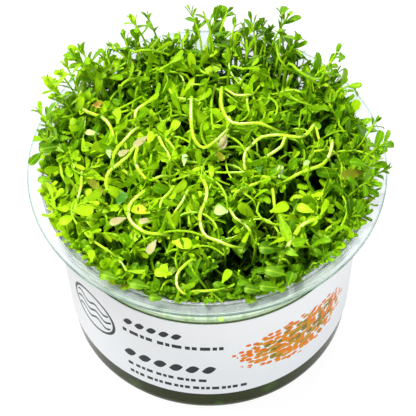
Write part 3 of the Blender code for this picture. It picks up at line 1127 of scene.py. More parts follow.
bunch_names = sorted(name for name in frame["nodes"] if name.startswith("bunch_"))
feet = np.array([foot_of(name) for name in bunch_names])
bunches = [Bunch("rotala_" + name) for name in bunch_names]


def bunch_at(x, y):
    """The bunch whose foot is nearest."""
    return bunches[int(np.argmin(np.hypot(feet[:, 0] - x, feet[:, 1] - y)))]


print(len(bunches), "bunches, furthest foot", round(float(np.hypot(*feet[:, :2].T).max()), 1), "mm")

# %% [markdown]
# ## Kinds of shoots
#
# Shoots differ by where they grow. Low in the mat they carry broad leaves on short stems, and on
# top they are stouter, more stretched and slimmer in the leaf. A kind says what its shoots have in
# common. Where it gives one number, all have it. Where it gives two, chance draws one between
# them, and from more it picks one.

# %% Say what a kind of shoot is
Kind = namedtuple("Kind", "leaf_length tint_shift stem_tint radius pairs slimness stretch")
ROOT_HEIGHT = GEL_TOP - 0.5
chance = random.Random(11)


def drawn(value, chance):
    """The number itself, or one drawn between two numbers, or one of several."""
    if not isinstance(value, tuple):
        return value
    return chance.uniform(*value) if len(value) == 2 else chance.choice(value)


def grow(kind, x, y, route, tint, chance=chance, variety=1.0):
    """Add a shoot of a kind along a route, to the bunch whose foot is nearest to x, y."""
    leaf_length = drawn(kind.leaf_length, chance)
    tint = tint + drawn(kind.tint_shift, chance) * variety
    others = [drawn(value, chance) for value in kind[2:]]
    add_shoot(bunch_at(x, y), route, chance, leaf_length, tint, *others)


print("a kind has:", ", ".join(Kind._fields))

# %% [markdown]
# ## Colours over the mat
#
# From far away the mat shows soft patches of lighter and darker green. They are lime in the
# middle and at the left, and deeper green to the right and towards the edge. A few round patches,
# each with the pixel of its middle, its size in pixels and a shift of the tint, give the rest:
# they are painted light and shade. At the front neighbours are more alike.

# %% Say how green the mat is where
# Each patch of painted light and shade: the pixel of its middle, its size in pixels and its shift of
# tint.
LIGHT_AND_SHADE_PATCHES = (
    (146, 218, 24, 0.50), (184, 176, 12, 0.32), (310, 216, 20, 0.34), (70, 206, 26, 0.16),
    (220, 212, 13, 0.16), (212, 56, 20, 0.24), (120, 110, 20, -0.52), (286, 90, 22, -0.10),
    (318, 143, 20, -0.26), (172, 282, 20, -0.32), (288, 268, 14, -0.10), (280, 206, 16, -0.42),
    (250, 60, 20, -0.42), (245, 262, 30, -0.06), (150, 140, 18, 0.30), (56, 120, 18, 0.24),
)
MAT_TINT = 0.76
SIDE_TINT = 0.09
BACK_TINT = 0.14
FRONT_TINT = 0.25
FRONT_CALM = 0.45
light_and_shade_patches = [(*place_seen(pixel_x, pixel_y), size / PIXELS_PER_MM, shift)
                 for pixel_x, pixel_y, size, shift in LIGHT_AND_SHADE_PATCHES]


def painted_light_and_shade(x, y):
    """How much lighter or darker the leaves are painted here than around, as painted light and shade.
    """
    return sum(shift * math.exp(-((x - patch_x) ** 2 + (y - patch_y) ** 2) / size ** 2)
               for patch_x, patch_y, size, shift in light_and_shade_patches)


def region_tint(x, y):
    """Lime in the middle and at the left, deeper green to the right and towards the edge."""
    edge_tint = BACK_TINT if y > 0 else FRONT_TINT
    plain = MAT_TINT - SIDE_TINT * x / MAT_RADIUS - edge_tint * (y / MAT_RADIUS) ** 2
    return plain + painted_light_and_shade(x, y)


def variety_here(y):
    """How unlike the leaves of neighbours are: less so towards the front."""
    return 1.0 + FRONT_CALM * min(y / MAT_RADIUS, 0.0)


print("tint in the middle of the mat:", round(region_tint(0.0, 0.0), 2))

# %% [markdown]
# ## The lower layer of the mat
#
# The mat fills the cup evenly, so its shoots are set out like the seeds of a sunflower: each one
# turns by the golden angle and moves out as the square root of its number. Seeded chance then
# shifts, leans and bends every shoot.
#
# It grows in two layers. The lower one is short shoots with broad shaded leaves, which are what
# shows dark between the others, and under a hollow they stay deeper. A ring of shoots stands
# along the wall, where their leaves are seen through the plastic.

# %% Grow the lower layer
GOLDEN_ANGLE = math.pi * (3 - math.sqrt(5))
FOOT_SHARE = 0.84
KNEE_SHARE = 0.9
KNEE_SHIFT = (-2, 2)
KNEE_HEIGHT = 30.0
SIDE_BOW = 0.25
SAG = 0.35
LOWER_SHOOTS = 260
LOWER_RADIUS = MAT_RADIUS - 1.0
LOWER_JITTER = 1.5
LOWER_DEPTH = 7.0
LOWER_UNEVENNESS = (-2, 1.5)
LOWER_LEANS = (1, 5)
LOWER_UPTURN = 0.8
LOWER_TINT = 0.45
LOWER_KIND = Kind(leaf_length=(5.4, 7.0), tint_shift=0.0, stem_tint=0.35, radius=0.40, pairs=4,
                  slimness=0.42, stretch=1.0)
WALL_SHOOTS = 110
WALL_SHOOT_RADIUS = 41.0
WALL_SHOOT_TOP = CUP_HEIGHT - 0.5
WALL_BACK_RISE = 1.5
WALL_UNEVENNESS = (-2.5, 1.5)
WALL_LEAN = 3.0
WALL_TURNS = (-1.5, 1.5)
WALL_UPTURN = 0.5
WALL_TINT = 0.52
WALL_KIND = Kind(leaf_length=(5.4, 6.8), tint_shift=0.0, stem_tint=0.50, radius=0.40, pairs=6,
                 slimness=0.42, stretch=1.0)


def around(turn, radius):
    """The step from the middle of a circle to its edge, in this direction."""
    return radius * math.cos(turn), radius * math.sin(turn)


def sunflower(count, radius, jitter):
    """Places spread evenly over a disc, each moved a little by chance."""
    for number in range(count):
        share = math.sqrt((number + 0.5) / count)
        x, y = around(number * GOLDEN_ANGLE, share * radius)
        yield x + chance.uniform(-jitter, jitter), y + chance.uniform(-jitter, jitter)


def leaning_route(x, y, top, reach, turn, upturn):
    """Up from the gel, then over by reach mm, with the tip turned up again."""
    over_x, over_y = around(turn, reach)
    side_x, side_y = -over_y * SIDE_BOW, over_x * SIDE_BOW
    sag = SAG * reach
    knee_x = x * KNEE_SHARE + chance.uniform(*KNEE_SHIFT)
    knee_y = y * KNEE_SHARE + chance.uniform(*KNEE_SHIFT)
    return (
        (x * FOOT_SHARE, y * FOOT_SHARE, ROOT_HEIGHT),
        (knee_x, knee_y, KNEE_HEIGHT),
        (x - over_x * 0.3, y - over_y * 0.3, top - 7.0 - sag),
        (x + over_x * 0.2 + side_x, y + over_y * 0.2 + side_y, top - 1.5 - 0.3 * sag),
        (x + over_x * 0.7 + side_x, y + over_y * 0.7 + side_y, top - upturn),
        (x + over_x, y + over_y, top),
    )


for x, y in sunflower(LOWER_SHOOTS, LOWER_RADIUS, LOWER_JITTER):
    top = mat_height(x, y) - LOWER_DEPTH + chance.uniform(*LOWER_UNEVENNESS)
    if in_hollow(x, y):
        top -= HOLLOW_DROP
    reach = chance.uniform(*LOWER_LEANS)
    route = leaning_route(x, y, top, reach, chance.uniform(0, math.tau), LOWER_UPTURN)
    grow(LOWER_KIND, x, y, route, LOWER_TINT)

for number in range(WALL_SHOOTS):
    turn = math.tau * number / WALL_SHOOTS
    x, y = around(turn, WALL_SHOOT_RADIUS)
    top = WALL_SHOOT_TOP + WALL_BACK_RISE * math.sin(turn) + chance.uniform(*WALL_UNEVENNESS)
    lean_turn = turn + chance.uniform(*WALL_TURNS)
    route = leaning_route(x, y, top, WALL_LEAN, lean_turn, WALL_UPTURN)
    grow(WALL_KIND, x, y, route, WALL_TINT)
print("leaves and stems so far:", sum(len(bunch.points) for bunch in bunches))

# %% [markdown]
# ## The upper layer of the mat
#
# The upper layer leans every way, and its tips turn up again. Its shoots are moved out of the
# hollows, and one whose tip would reach into a hollow stands almost upright instead. Near the
# front rim none leans straight outwards.

# %% Grow the upper layer
UPPER_SHOOTS = 230
UPPER_RADIUS = MAT_RADIUS + 1.0
UPPER_JITTER = 1.8
UPPER_UNEVENNESS = 1.7
UPPER_UPTURNS = (-0.8, 1.8)
LEANS = (2.0, 4.0, 7.0, 11.0, 15.0)
UPRIGHT_LEAN = 1.0
INWARD_TURNS = (1.2, 5.1)
LONGEST_FRONT_LEAN = 4.0
FRONT_EDGE = 0.8
LEAN_DROP = 0.08
UPPER_KIND = Kind(leaf_length=(6.0, 8.6), tint_shift=(-0.25, 0.22), stem_tint=(0.45, 0.85),
                  radius=(0.42, 0.58), pairs=5, slimness=(0.28, 0.42), stretch=(1.2, 2.0))

for x, y in sunflower(UPPER_SHOOTS, UPPER_RADIUS, UPPER_JITTER):
    x, y = out_of_hollows(x, y)
    reach = chance.choice(LEANS)
    turn = chance.uniform(0, math.tau)
    if math.hypot(x, y) / MAT_RADIUS > FRONT_EDGE and y < 0:
        turn = math.atan2(y, x) + chance.uniform(*INWARD_TURNS)
        reach = min(reach, LONGEST_FRONT_LEAN)
    over_x, over_y = around(turn, reach)
    if in_hollow(x + over_x, y + over_y):
        reach = UPRIGHT_LEAN
    top = mat_height(x, y) + chance.gauss(0.0, UPPER_UNEVENNESS) - LEAN_DROP * reach
    route = leaning_route(x, y, top, reach, turn, chance.uniform(*UPPER_UPTURNS))
    grow(UPPER_KIND, x, y, route, region_tint(x, y), variety=variety_here(y))
print("leaves and stems so far:", sum(len(bunch.points) for bunch in bunches))

# %% [markdown]
# ## Shoots at the rim
#
# The mat swells over the lid seat up to the plastic, and its edge is denser than a sunflower
# leaves it. So a ring of shoots stands at the rim, and a second one at the front, where the edge
# is seen best. The second one takes its sizes and colours from a chance of its own, so they
# stay as they are when the layers before it change.

# %% Grow the rings at the rim
RIM_SHOOTS = 96
RIM_SHOOT_RADIUS = 43.8
RIM_SHOOT_TOP = CUP_HEIGHT + 0.9
RIM_BACK_RISE = 1.5
RIM_SHIFT = (-0.03, 0.03)
RIM_UNEVENNESS = (-0.7, 0.9)
RIM_LEANS = (0.5, 2.0)
RIM_TURNS = (-1.6, 1.6)
RIM_UPTURN = 0.2
RIM_KIND = Kind(leaf_length=(5.4, 7.0), tint_shift=(-0.20, 0.16), stem_tint=(0.45, 0.75),
                radius=0.45, pairs=5, slimness=(0.36, 0.46), stretch=(0.9, 1.5))
FRONT_SHOOTS = 40
FRONT_SHOOT_RADIUS = 44.2
FRONT_FROM, FRONT_TO = math.radians(186), math.radians(354)
FRONT_UNEVENNESS = (-0.4, 0.9)
FRONT_LEAN = 0.8
FRONT_KIND = Kind(leaf_length=(5.6, 7.0), tint_shift=(-0.04, 0.14), stem_tint=0.6, radius=0.42,
                  pairs=4, slimness=(0.42, 0.5), stretch=1.0)
front_chance = random.Random(5)

for number in range(RIM_SHOOTS):
    turn = math.tau * number / RIM_SHOOTS + chance.uniform(*RIM_SHIFT)
    x, y = around(turn, RIM_SHOOT_RADIUS)
    top = RIM_SHOOT_TOP + RIM_BACK_RISE * max(math.sin(turn), 0.0) + chance.uniform(*RIM_UNEVENNESS)
    reach = chance.uniform(*RIM_LEANS)
    route = leaning_route(x, y, top, reach, turn + chance.uniform(*RIM_TURNS), RIM_UPTURN)
    grow(RIM_KIND, x, y, route, region_tint(x, y))

for number in range(FRONT_SHOOTS):
    turn = FRONT_FROM + (FRONT_TO - FRONT_FROM) * (number + 0.5) / FRONT_SHOOTS
    x, y = around(turn, FRONT_SHOOT_RADIUS)
    top = CUP_HEIGHT + front_chance.uniform(*FRONT_UNEVENNESS)
    lean_turn = turn + front_chance.uniform(*RIM_TURNS)
    route = leaning_route(x, y, top, FRONT_LEAN, lean_turn, RIM_UPTURN)
    grow(FRONT_KIND, x, y, route, region_tint(x, y), front_chance)
print("leaves and stems so far:", sum(len(bunch.points) for bunch in bunches))

# %% [markdown]
# ## The fringe round the rim
#
# At the back and at both sides tall shoots stand against the white. Their stems are bare, and
# only the last few pairs carry leaves, so light shows between them. Their tips are what gives
# the mat its outline, so each is placed by the pixel at which it is seen and by how far from the
# axis it stands.

# %% Grow the fringe
FRINGE_RADIUS = 47.0
FRINGE_TIPS = (
    (38, 110), (45, 122), (41, 133), (54, 99), (47, 78), (57, 97), (60, 72),
    (71, 51), (80, 49), (96, 65), (104, 53), (110, 46), (124, 35), (131, 18), (147, 15),
    (139, 30), (154, 40), (165, 42), (179, 31), (191, 11), (203, 11), (197, 24), (210, 20),
    (218, 13), (227, 12), (236, 21), (243, 26), (251, 20), (262, 22), (271, 30), (282, 13),
    (288, 16), (298, 38), (297, 44), (291, 54), (307, 63), (316, 62), (338, 51), (331, 65),
    (336, 72), (333, 88), (329, 92), (341, 105), (349, 117), (360, 122), (376, 121), (368, 128),
    (387, 141), (381, 152), (389, 168), (379, 192), (375, 206), (366, 216), (371, 181),
    (66, 64), (77, 62), (75, 59), (106, 61), (106, 54), (116, 47), (123, 51), (134, 46), (148, 47),
    (158, 43), (171, 46), (187, 37), (246, 38), (258, 33), (313, 76),
)
FRINGE_SHIFT = (-1.5, 1.5)
FRINGE_BENDS = (-3, 3)
TIP_HEIGHTS = np.arange(CUP_HEIGHT + 1.0, CUP_HEIGHT + 16.9, 0.25)
INNER_RADIUS = 38.5
INNER_KNEE = 34.0
FRINGE_TINT = 0.54
FRINGE_SIDE_TINT = 0.07
FRINGE_KIND = Kind(leaf_length=(5.2, 6.8), tint_shift=(-0.13, 0.12), stem_tint=(0.5, 0.8),
                   radius=0.46, pairs=(4, 5, 6), slimness=(0.34, 0.44), stretch=(1.0, 1.5))


def seen_over_rim(pixel_x, pixel_y, radius):
    """Place in mm that is seen at a pixel and stands this far from the axis."""
    spots = [seen_in_mm(pixel_x, pixel_y, height) for height in TIP_HEIGHTS]
    return min(spots, key=lambda spot: abs(math.hypot(spot[0], spot[1]) - radius))


def rising_route(tip, bend):
    """Up the inside of the cup and over to a tip, bowed sideways by bend mm."""
    x, y, z = tip
    out = math.hypot(x, y)
    side_x, side_y = -y / out * bend, x / out * bend
    inner = INNER_RADIUS / out
    return (
        (x * inner * 0.88, y * inner * 0.88, ROOT_HEIGHT),
        (x * inner * 0.95, y * inner * 0.95, INNER_KNEE),
        (x * inner + side_x, y * inner + side_y, CUP_HEIGHT - 6.0),
        (x * (inner + 1) / 2 + side_x, y * (inner + 1) / 2 + side_y, (CUP_HEIGHT + z) / 2 - 1.0),
        (x, y, z),
    )


for pixel_x, pixel_y in FRINGE_TIPS:
    tip = seen_over_rim(pixel_x, pixel_y, FRINGE_RADIUS + chance.uniform(*FRINGE_SHIFT))
    x, y, _ = tip
    route = rising_route(tip, chance.uniform(*FRINGE_BENDS))
    tint = FRINGE_TINT - FRINGE_SIDE_TINT * x / FRINGE_RADIUS + painted_light_and_shade(x, y)
    grow(FRINGE_KIND, x, y, route, tint)
print("fringe shoots:", len(FRINGE_TIPS))

# %% [markdown]
# ## Loose runners over the mat
#
# Stretched pale stems arch over the mat. Most of them are laid by chance: each starts somewhere
# on the mat and turns steadily as it goes. Both ends of a runner dip into the mat, and the
# rooted end goes on down to the gel.

# %% Lay the loose runners
LOOSE_RUNNERS = 52
LOOSE_RADIUS = 35.0
LOOSE_JITTER = 3.0
LOOSE_RISES = (-1.0, 2.5)
LOOSE_TURNS = (-1.8, 1.8)
LOOSE_BENDS = (0.6, 3.2)
LOOSE_LENGTHS = (12, 27)
RUNNER_DIP = 4.0
RUNNER_KNEE = 40.0
ARCH_DROPS = ((0.0, RUNNER_DIP), (0.25, 0.6), (0.5, 0.0), (0.75, 0.4), (1.0, 1.8))
LOOSE_KIND = Kind(leaf_length=(5.0, 7.0), tint_shift=0.05, stem_tint=(0.45, 0.8),
                  radius=(0.40, 0.55), pairs=5, slimness=0.36, stretch=(1.4, 2.6))


def rooted(x, y):
    """The hidden part of a runner's route, from the gel up."""
    return [(x * FOOT_SHARE, y * FOOT_SHARE, ROOT_HEIGHT), (x * 0.95, y * 0.95, RUNNER_KNEE)]


def arching_route(x, y, top, length, turn, bend):
    """A route that advances over the mat by length and turns by bend radians on its way."""
    places = rooted(x, y)
    for share, drop in ARCH_DROPS:
        places.append((x, y, top - drop))
        step_x, step_y = around(turn + bend * share, length / 4)
        x += step_x
        y += step_y
    return places


for x, y in sunflower(LOOSE_RUNNERS, LOOSE_RADIUS, LOOSE_JITTER):
    x, y = out_of_hollows(x, y)
    top = mat_height(x, y) + chance.uniform(*LOOSE_RISES)
    inward = math.atan2(-y, -x) + chance.uniform(*LOOSE_TURNS)
    bend = chance.choice((-1, 1)) * chance.uniform(*LOOSE_BENDS)
    route = arching_route(x, y, top, chance.uniform(*LOOSE_LENGTHS), inward - bend / 2, bend)
    grow(LOOSE_KIND, x, y, route, region_tint(x, y))
print("runners laid by chance:", LOOSE_RUNNERS)

# %% [markdown]
# ## The boldest runners
#
# The boldest lines of the picture are laid one by one. Each follows its own list of pixels, after a
# height and a radius in mm. The highest ones, at the back, are young and greener.

# %% Lay the bold runners
RUNNERS = (
    (68, 0.6, (200, 180), (205, 184), (207, 192), (205, 203), (201, 211), (200, 220), (202, 230),
     (207, 237), (218, 241), (230, 246), (241, 248)),
    (68, 0.55, (228, 211), (235, 218), (244, 224), (250, 231), (253, 240)),
    (69, 0.5, (190, 192), (182, 202), (175, 212), (170, 220)),
    (68, 0.5, (177, 189), (168, 194), (162, 200), (160, 207), (158, 220)),
    (70, 0.6, (286, 138), (281, 147), (269, 155), (260, 162), (256, 168)),
    (70, 0.5, (223, 93), (235, 95), (249, 95), (256, 92)),
    (69, 0.5, (120, 131), (130, 130), (140, 129)),
    (68, 0.55, (149, 183), (155, 179), (162, 176), (172, 177)),
    (68, 0.6, (260, 181), (268, 178), (279, 177)),
    (72, 0.6, (192, 100), (191, 112), (192, 131), (196, 142), (204, 148), (213, 143), (222, 135),
     (231, 126)),
    (71, 0.6, (222, 90), (221, 103), (225, 115), (231, 122), (240, 124), (258, 123), (267, 126),
     (278, 131)),
    (69, 0.6, (316, 127), (307, 134), (299, 137), (287, 136), (277, 135), (262, 137), (254, 143),
     (246, 151), (244, 160), (245, 169), (249, 175)),
    (69, 0.5, (314, 129), (319, 139), (323, 148)),
    (69, 0.5, (166, 88), (171, 92), (177, 98), (185, 99), (196, 100), (205, 105)),
    (69, 0.5, (249, 92), (247, 101), (249, 111), (251, 119)),
    (69, 0.6, (139, 127), (135, 117), (137, 110), (142, 106), (150, 101), (160, 97)),
    (69, 0.65, (141, 147), (135, 158), (138, 169), (145, 178), (150, 184)),
    (70, 0.6, (156, 136), (164, 148), (170, 158), (170, 170)),
    (69, 0.5, (163, 142), (173, 147), (179, 158)),
    (68, 0.6, (232, 201), (242, 189), (255, 184), (270, 178)),
    (68, 0.65, (155, 191), (137, 197), (129, 207), (129, 218), (136, 227), (147, 233), (159, 234),
     (170, 236)),
    (68, 0.55, (83, 172), (81, 187), (77, 201), (74, 214), (73, 226)),
    (67, 0.55, (61, 160), (62, 175), (70, 188)),
    (68, 0.45, (79, 231), (93, 241), (107, 250), (119, 259)),
    (67, 0.45, (82, 146), (93, 158)),
    (68, 0.5, (122, 173), (132, 179), (138, 186)),
    (70, 0.65, (84, 84), (80, 97), (83, 109), (93, 114), (103, 118), (110, 126), (113, 135),
     (114, 145)),
    (69, 0.65, (141, 130), (123, 142), (114, 154), (111, 169)),
    (68, 0.65, (138, 149), (126, 158), (115, 167), (109, 172), (106, 180), (107, 189), (116, 198)),
    (69, 0.22, (87, 118), (84, 134), (81, 146)),
    (68, 0.8, (280, 264), (287, 248), (295, 235), (304, 224), (316, 219), (323, 215)),
    (68, 0.6, (272, 190), (275, 208), (280, 222)),
    (70, 0.65, (332, 143), (330, 154), (323, 164), (311, 169), (300, 173), (291, 178), (282, 183)),
    (70, 0.5, (311, 158), (319, 151), (329, 150)),
    (73, 0.5, (229, 72), (243, 69), (257, 67)),
    (74, 0.5, (275, 47), (279, 58), (287, 69)),
    (73, 0.55, (286, 68), (300, 72), (317, 84)),
    (76, 0.5, (129, 58), (135, 52), (148, 50), (164, 53)),
    (74, 0.5, (120, 93), (121, 86), (128, 80), (140, 78)),
    (73, 0.5, (157, 77), (160, 70), (168, 65), (178, 61)),
    (68, 0.55, (196, 262), (184, 266), (177, 275), (177, 286), (183, 293), (190, 296)),
    (67.5, 0.45, (189, 296), (205, 291), (229, 290)),
    (67, 0.5, (84, 222), (95, 230), (108, 238)),
    (68, 0.5, (118, 262), (126, 270), (133, 277)),
)
YOUNG_HEIGHT = 73
YOUNG_TINT = 0.6
# Runners below YOUNG_HEIGHT get a pale stem tint, which also lets a painted highlight run along their
# upper side.
PALE_HIGHLIGHTED_STEM_TINT = 0.92
RUNNER_STOUTNESS = 1.15
RUNNER_LEAF_TINT = 0.72
RUNNER_KIND = Kind(leaf_length=5.2, tint_shift=0.0, stem_tint=PALE_HIGHLIGHTED_STEM_TINT, radius=0.6, pairs=4,
                   slimness=0.36, stretch=1.2)


def runner_route(height, pixels):
    """A route seen at these pixels, dipping at both ends and rooted in the gel."""
    dips = [RUNNER_DIP] + [0.0] * (len(pixels) - 2) + [RUNNER_DIP]
    places = [seen_in_mm(pixel_x, pixel_y, height - dip)
              for (pixel_x, pixel_y), dip in zip(pixels, dips)]
    return rooted(places[0][0], places[0][1]) + places


for height, radius, *pixels in RUNNERS:
    route = runner_route(height, pixels)
    x, y, _ = route[2]
    kind = RUNNER_KIND._replace(radius=radius * RUNNER_STOUTNESS,
                                stem_tint=PALE_HIGHLIGHTED_STEM_TINT if height < YOUNG_HEIGHT else YOUNG_TINT)
    grow(kind, x, y, route, RUNNER_LEAF_TINT)
print("runners laid by hand:", len(RUNNERS))

# %% [markdown]
# ## Single leaves
#
# A few leaves are out of the ordinary. Some have dried to a pinkish beige, some are pale, in part
# as a painted sheen, a few are deep green with a painted glint, and a few broad spoons lie on top.
# They are laid one by one, each with the pixel of its foot, its direction in degrees, its length
# and width in mm and its tint. The leaf that shows through the wall over the label is laid here
# too.

# %% Lay the single leaves
# The fourth of these tints is a pale leaf, in part a painted sheen, and the last a deep green leaf
# with a painted glint.
DRY, BROWN, OLIVE, PALE_SHEEN, DEEP_PAINTED_GLINT = 1.3, 1.45, 1.58, 1.8, 1.93
SINGLE_LEAVES = (
    (226, 134, 255, 5.6, 2.4, DRY), (216, 151, 300, 4.0, 1.8, OLIVE), (148, 136, 225, 5.4, 2.0, DRY),
    (126, 218, 205, 4.8, 2.1, DRY), (156, 240, 245, 5.0, 2.2, DRY), (146, 203, 235, 3.6, 1.8, OLIVE),
    (152, 219, 200, 3.8, 1.6, DRY), (129, 150, 215, 3.4, 1.8, DRY), (92, 106, 20, 3.0, 1.5, BROWN),
    (101, 108, 150, 2.6, 1.3, BROWN), (105, 194, 135, 6.6, 2.1, OLIVE),
    (184, 166, 85, 4.2, 1.7, PALE_SHEEN), (170, 133, 60, 5.0, 2.4, 0.85), (118, 124, 95, 5.6, 2.5, 0.75),
    (166, 278, 100, 4.6, 2.2, 0.8), (281, 249, 178, 6.0, 3.6, 0.25), (228, 212, 170, 3.8, 2.9, PALE_SHEEN),
    (294, 211, 70, 4.8, 2.7, 0.25), (279, 178, 80, 4.4, 1.8, PALE_SHEEN), (280, 216, 283, 9.0, 2.9, 0.6),
    (364, 171, 200, 6.6, 3.0, OLIVE), (99, 134, 172, 4.0, 1.6, PALE_SHEEN), (110, 158, 100, 3.4, 1.6, PALE_SHEEN),
    (118, 205, 70, 4.6, 3.2, DEEP_PAINTED_GLINT), (260, 172, 100, 4.4, 2.6, DEEP_PAINTED_GLINT), (303, 167, 50, 2.8, 1.4, PALE_SHEEN),
    (172, 274, 175, 4.8, 2.5, 0.8), (222, 283, 60, 4.8, 2.2, 0.8), (286, 275, 165, 6.0, 3.0, 0.33),
    (278, 288, 175, 5.0, 2.8, 0.3), (288, 286, 70, 4.6, 3.0, 0.28), (260, 291, 170, 4.4, 2.6, 0.33),
    (118, 279, 165, 5.4, 2.8, 0.3), (149, 287, 170, 5.6, 2.8, 0.3), (162, 299, 172, 3.6, 2.2, 0.33),
    (92, 262, 95, 4.0, 2.0, 0.75), (42, 152, 235, 5.6, 2.4, 0.35), (52, 181, 176, 4.0, 2.0, 0.42),
    (56, 138, 160, 5.4, 3.0, 0.3), (60, 146, 195, 6.0, 3.2, 0.33), (64, 152, 140, 5.6, 3.0, 0.28),
    (339, 62, 60, 5.0, 2.4, 0.4), (270, 212, 20, 5.6, 3.0, 0.8), (314, 212, 160, 5.0, 2.6, 0.85),
    (150, 213, 160, 4.6, 2.6, 0.95), (172, 242, 345, 5.4, 3.2, 0.9), (148, 144, 70, 4.6, 2.4, 0.9),
    (308, 240, 200, 4.6, 2.6, 0.55), (298, 256, 150, 4.2, 2.2, 0.5),
)
SINGLE_HEIGHT = 68.0
SINGLE_RISE = 3.0
SINGLE_SLOPE = 0.15
SINGLE_CURL = 0.3
FACE_LEAN = -0.45

for pixel_x, pixel_y, direction, length, width, tint in SINGLE_LEAVES:
    under = seen_in_mm(pixel_x, pixel_y, SINGLE_HEIGHT)
    base = seen_in_mm(pixel_x, pixel_y, mat_height(under[0], under[1]) + SINGLE_RISE)
    heading = unit(np.array((*around(math.radians(direction), 1.0), SINGLE_SLOPE)))
    off_plane = FACE_LEAN * heading[1] + heading[2]
    face_up = unit(np.array((0.0, FACE_LEAN, 1.0)) - heading * off_plane)
    add_leaf(bunch_at(base[0], base[1]), base, heading, face_up, length, width, SINGLE_CURL, tint)

wall_x, wall_z = WALL_LEAF
base = np.array((wall_x - 1.0, -wall_radius(wall_z) + WALL, wall_z))
add_leaf(bunch_at(base[0], base[1]), base, heading=np.array((1.0, 0.0, 0.0)),
         face_up=np.array((0.0, -1.0, 0.0)), length=2.0, width=1.6, curl=0.0, tint=1.0)
print("single leaves:", len(SINGLE_LEAVES) + 1)

# %% [markdown]
# ## Paint for leaves and stems
#
# Young rotala is a glossy yellow-green. The tint value runs through a ramp from deep green to
# lime, a fine noise breaks it up, the midrib is paler, and stems have a ramp of their own that
# ends in the pale yellow of stretched stems. On the side of pale stems that looks up, a near-white
# painted highlight is laid in patches. The odd leaves have a ramp of their own too, whose last
# stops are a pale green, in part a painted sheen, a deep green, and a pale painted glint. A little
# subsurface light makes the thin blades glow, and the shine is tinted too, because the wax on the
# leaves is thin.

# %% Paint and place the bunches
LEAF_RAMP = (
    (0.0, (0.012, 0.046, 0.001)),
    (0.25, (0.030, 0.125, 0.001)),
    (0.5, (0.110, 0.310, 0.002)),
    (0.75, (0.310, 0.590, 0.003)),
    (1.0, (0.480, 0.780, 0.012)),
)
STEM_RAMP = (
    (0.0, (0.040, 0.120, 0.003)),
    (0.4, (0.230, 0.450, 0.008)),
    (0.75, (0.400, 0.700, 0.010)),
    (1.0, (0.560, 0.830, 0.045)),
)
STEM_PAINTED_HIGHLIGHT = (0.88, 0.97, 0.55)
# The last stops are a pale green, in part a painted sheen, a deep green, and a pale painted glint.
ODD_RAMP = (
    (0.3, (0.500, 0.460, 0.210)),
    (0.45, (0.400, 0.220, 0.030)),
    (0.6, (0.130, 0.170, 0.006)),
    (0.8, (0.500, 0.700, 0.240)),
    (0.93, (0.035, 0.170, 0.002)),
    (1.0, (0.300, 0.640, 0.260)),
)
MIDRIB = (0.46, 0.70, 0.03)
MIDRIB_SHARE = 0.3
MOTTLE = 0.35
ODD_MOTTLE = 0.12
LEAF_SHINE = (0.70, 1.0, 0.14, 1.0)
SLOT_SHIFTS = {"lime_leaf": 0.02, "bright_leaf": 0.0, "deep_leaf": -0.04}


def foliage_paint(name, shift):
    """Glossy leaf green, with the tint shifted a little for its slot."""
    paint = Paint(name, IOR=1.42, Subsurface_Weight=0.25, Subsurface_Scale=0.0012)
    paint.feed(Subsurface_Radius=(0.6, 1.0, 0.12), Specular_Tint=LEAF_SHINE)
    spot, _ = paint.place()
    tint, across, stem = [
        paint.node("ShaderNodeAttribute", {"attribute_name": name}, None, "Fac")
        for name in ("tint", "across", "stem")
    ]
    mottle = paint.cloud(spot, 1.4) - 0.5
    mottled = tint + shift + mottle * MOTTLE
    leaf = paint.ramp(mottled, LEAF_RAMP)
    midrib = (1 - abs(across).step_up(0.04, 0.22)) * MIDRIB_SHARE
    leaf = paint.blend(midrib, leaf, MIDRIB)
    odd = paint.ramp(tint - 1 + mottle * ODD_MOTTLE, ODD_RAMP)
    leaf = paint.blend(tint.above(ODD_TINT), leaf, odd)
    # Painted highlight: pale stems are painted near white in patches on the side that looks up.
    painted_highlight = across.step_up(0.62, 1.0) * tint.step_up(0.6, 0.95)
    painted_highlight = painted_highlight * paint.cloud(spot, 6).step_up(0.44, 0.62)
    stalk = paint.blend(painted_highlight, paint.ramp(mottled, STEM_RAMP), STEM_PAINTED_HIGHLIGHT)
    colour = paint.blend(stem.above(0.5), leaf, stalk)
    paint.feed(Base_Color=colour, Roughness=0.28 + paint.cloud(spot, 2.2) * 0.16)
    paint.relief(paint.cloud(spot, 0.5), 0.06, 0.4)
    return paint


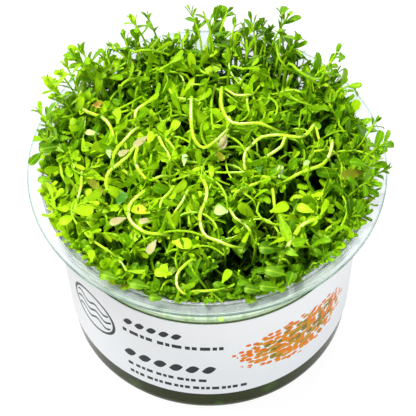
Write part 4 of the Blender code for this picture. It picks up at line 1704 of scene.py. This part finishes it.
foliage_paints = {slot: foliage_paint(slot, shift) for slot, shift in SLOT_SHIFTS.items()}
slot_of = {part["node"]: part["material_slot"] for part in frame["record"]["subparts"]}
for name, bunch in zip(bunch_names, bunches):
    piece = bpy.data.objects.new(bunch.name, bunch.mesh())
    bpy.context.scene.collection.objects.link(piece)
    dress(piece, foliage_paints[slot_of[name]], slot_of[name])
    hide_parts(name)
print("foliage faces:", sum(len(bunch.faces) for bunch in bunches))

# %% [markdown]
# ## Floor and light
#
# The picture is a product shot on pure white. The main lamp stands almost overhead, so that the
# mat gets more light than the label. The floor glows a little by itself, which keeps it white up
# to the foot of the cup, and weak lamps in front and behind open the shadows.

# %% Light the studio
FLOOR_SIZE = 6.0
FLOOR_HEIGHT = -0.00005
FLOOR_GREY = (0.12, 0.12, 0.12, 1.0)
FLOOR_GLOW = 0.94
WHITE = (1.0, 1.0, 1.0, 1.0)
WORLD_STRENGTH = 0.35
LAMP_AIM = Vector((0.0, 0.0, 0.05))
LAMPS = (
    ("key", (-0.30, -0.05, 0.90), 0.22, 11.0, (1.0, 0.99, 0.96)),
    ("fill", (0.50, -0.60, 0.50), 0.60, 2.0, (0.95, 0.98, 1.0)),
    ("back", (0.10, 0.70, 0.60), 0.50, 3.0, (1.0, 1.0, 1.0)),
)

deselect()
bpy.ops.mesh.primitive_plane_add(size=FLOOR_SIZE, location=(0, 0, FLOOR_HEIGHT))
floor = bpy.context.active_object
floor.name = "floor"
floor_paint = Paint("white_floor", Base_Color=FLOOR_GREY, Roughness=0.6)
floor_paint.feed(Emission_Color=WHITE, Emission_Strength=FLOOR_GLOW)
floor.data.materials.append(floor_paint.material)

world = bpy.data.worlds.new("studio")
world.use_nodes = True
background = world.node_tree.nodes["Background"]
background.inputs["Color"].default_value = WHITE
background.inputs["Strength"].default_value = WORLD_STRENGTH
bpy.context.scene.world = world

for name, place, size, power, colour in LAMPS:
    lamp_data = bpy.data.lights.new(name, "AREA")
    lamp_data.size = size
    lamp_data.energy = power
    lamp_data.color = colour
    lamp = bpy.data.objects.new(name, lamp_data)
    bpy.context.scene.collection.objects.link(lamp)
    lamp.location = place
    aim = LAMP_AIM - lamp.location
    lamp.rotation_euler = aim.to_track_quat("-Z", "Y").to_euler()

bpy.context.scene.view_settings.view_transform = "Standard"
print("lamps:", len(LAMPS))

# %% [markdown]
# ## The end
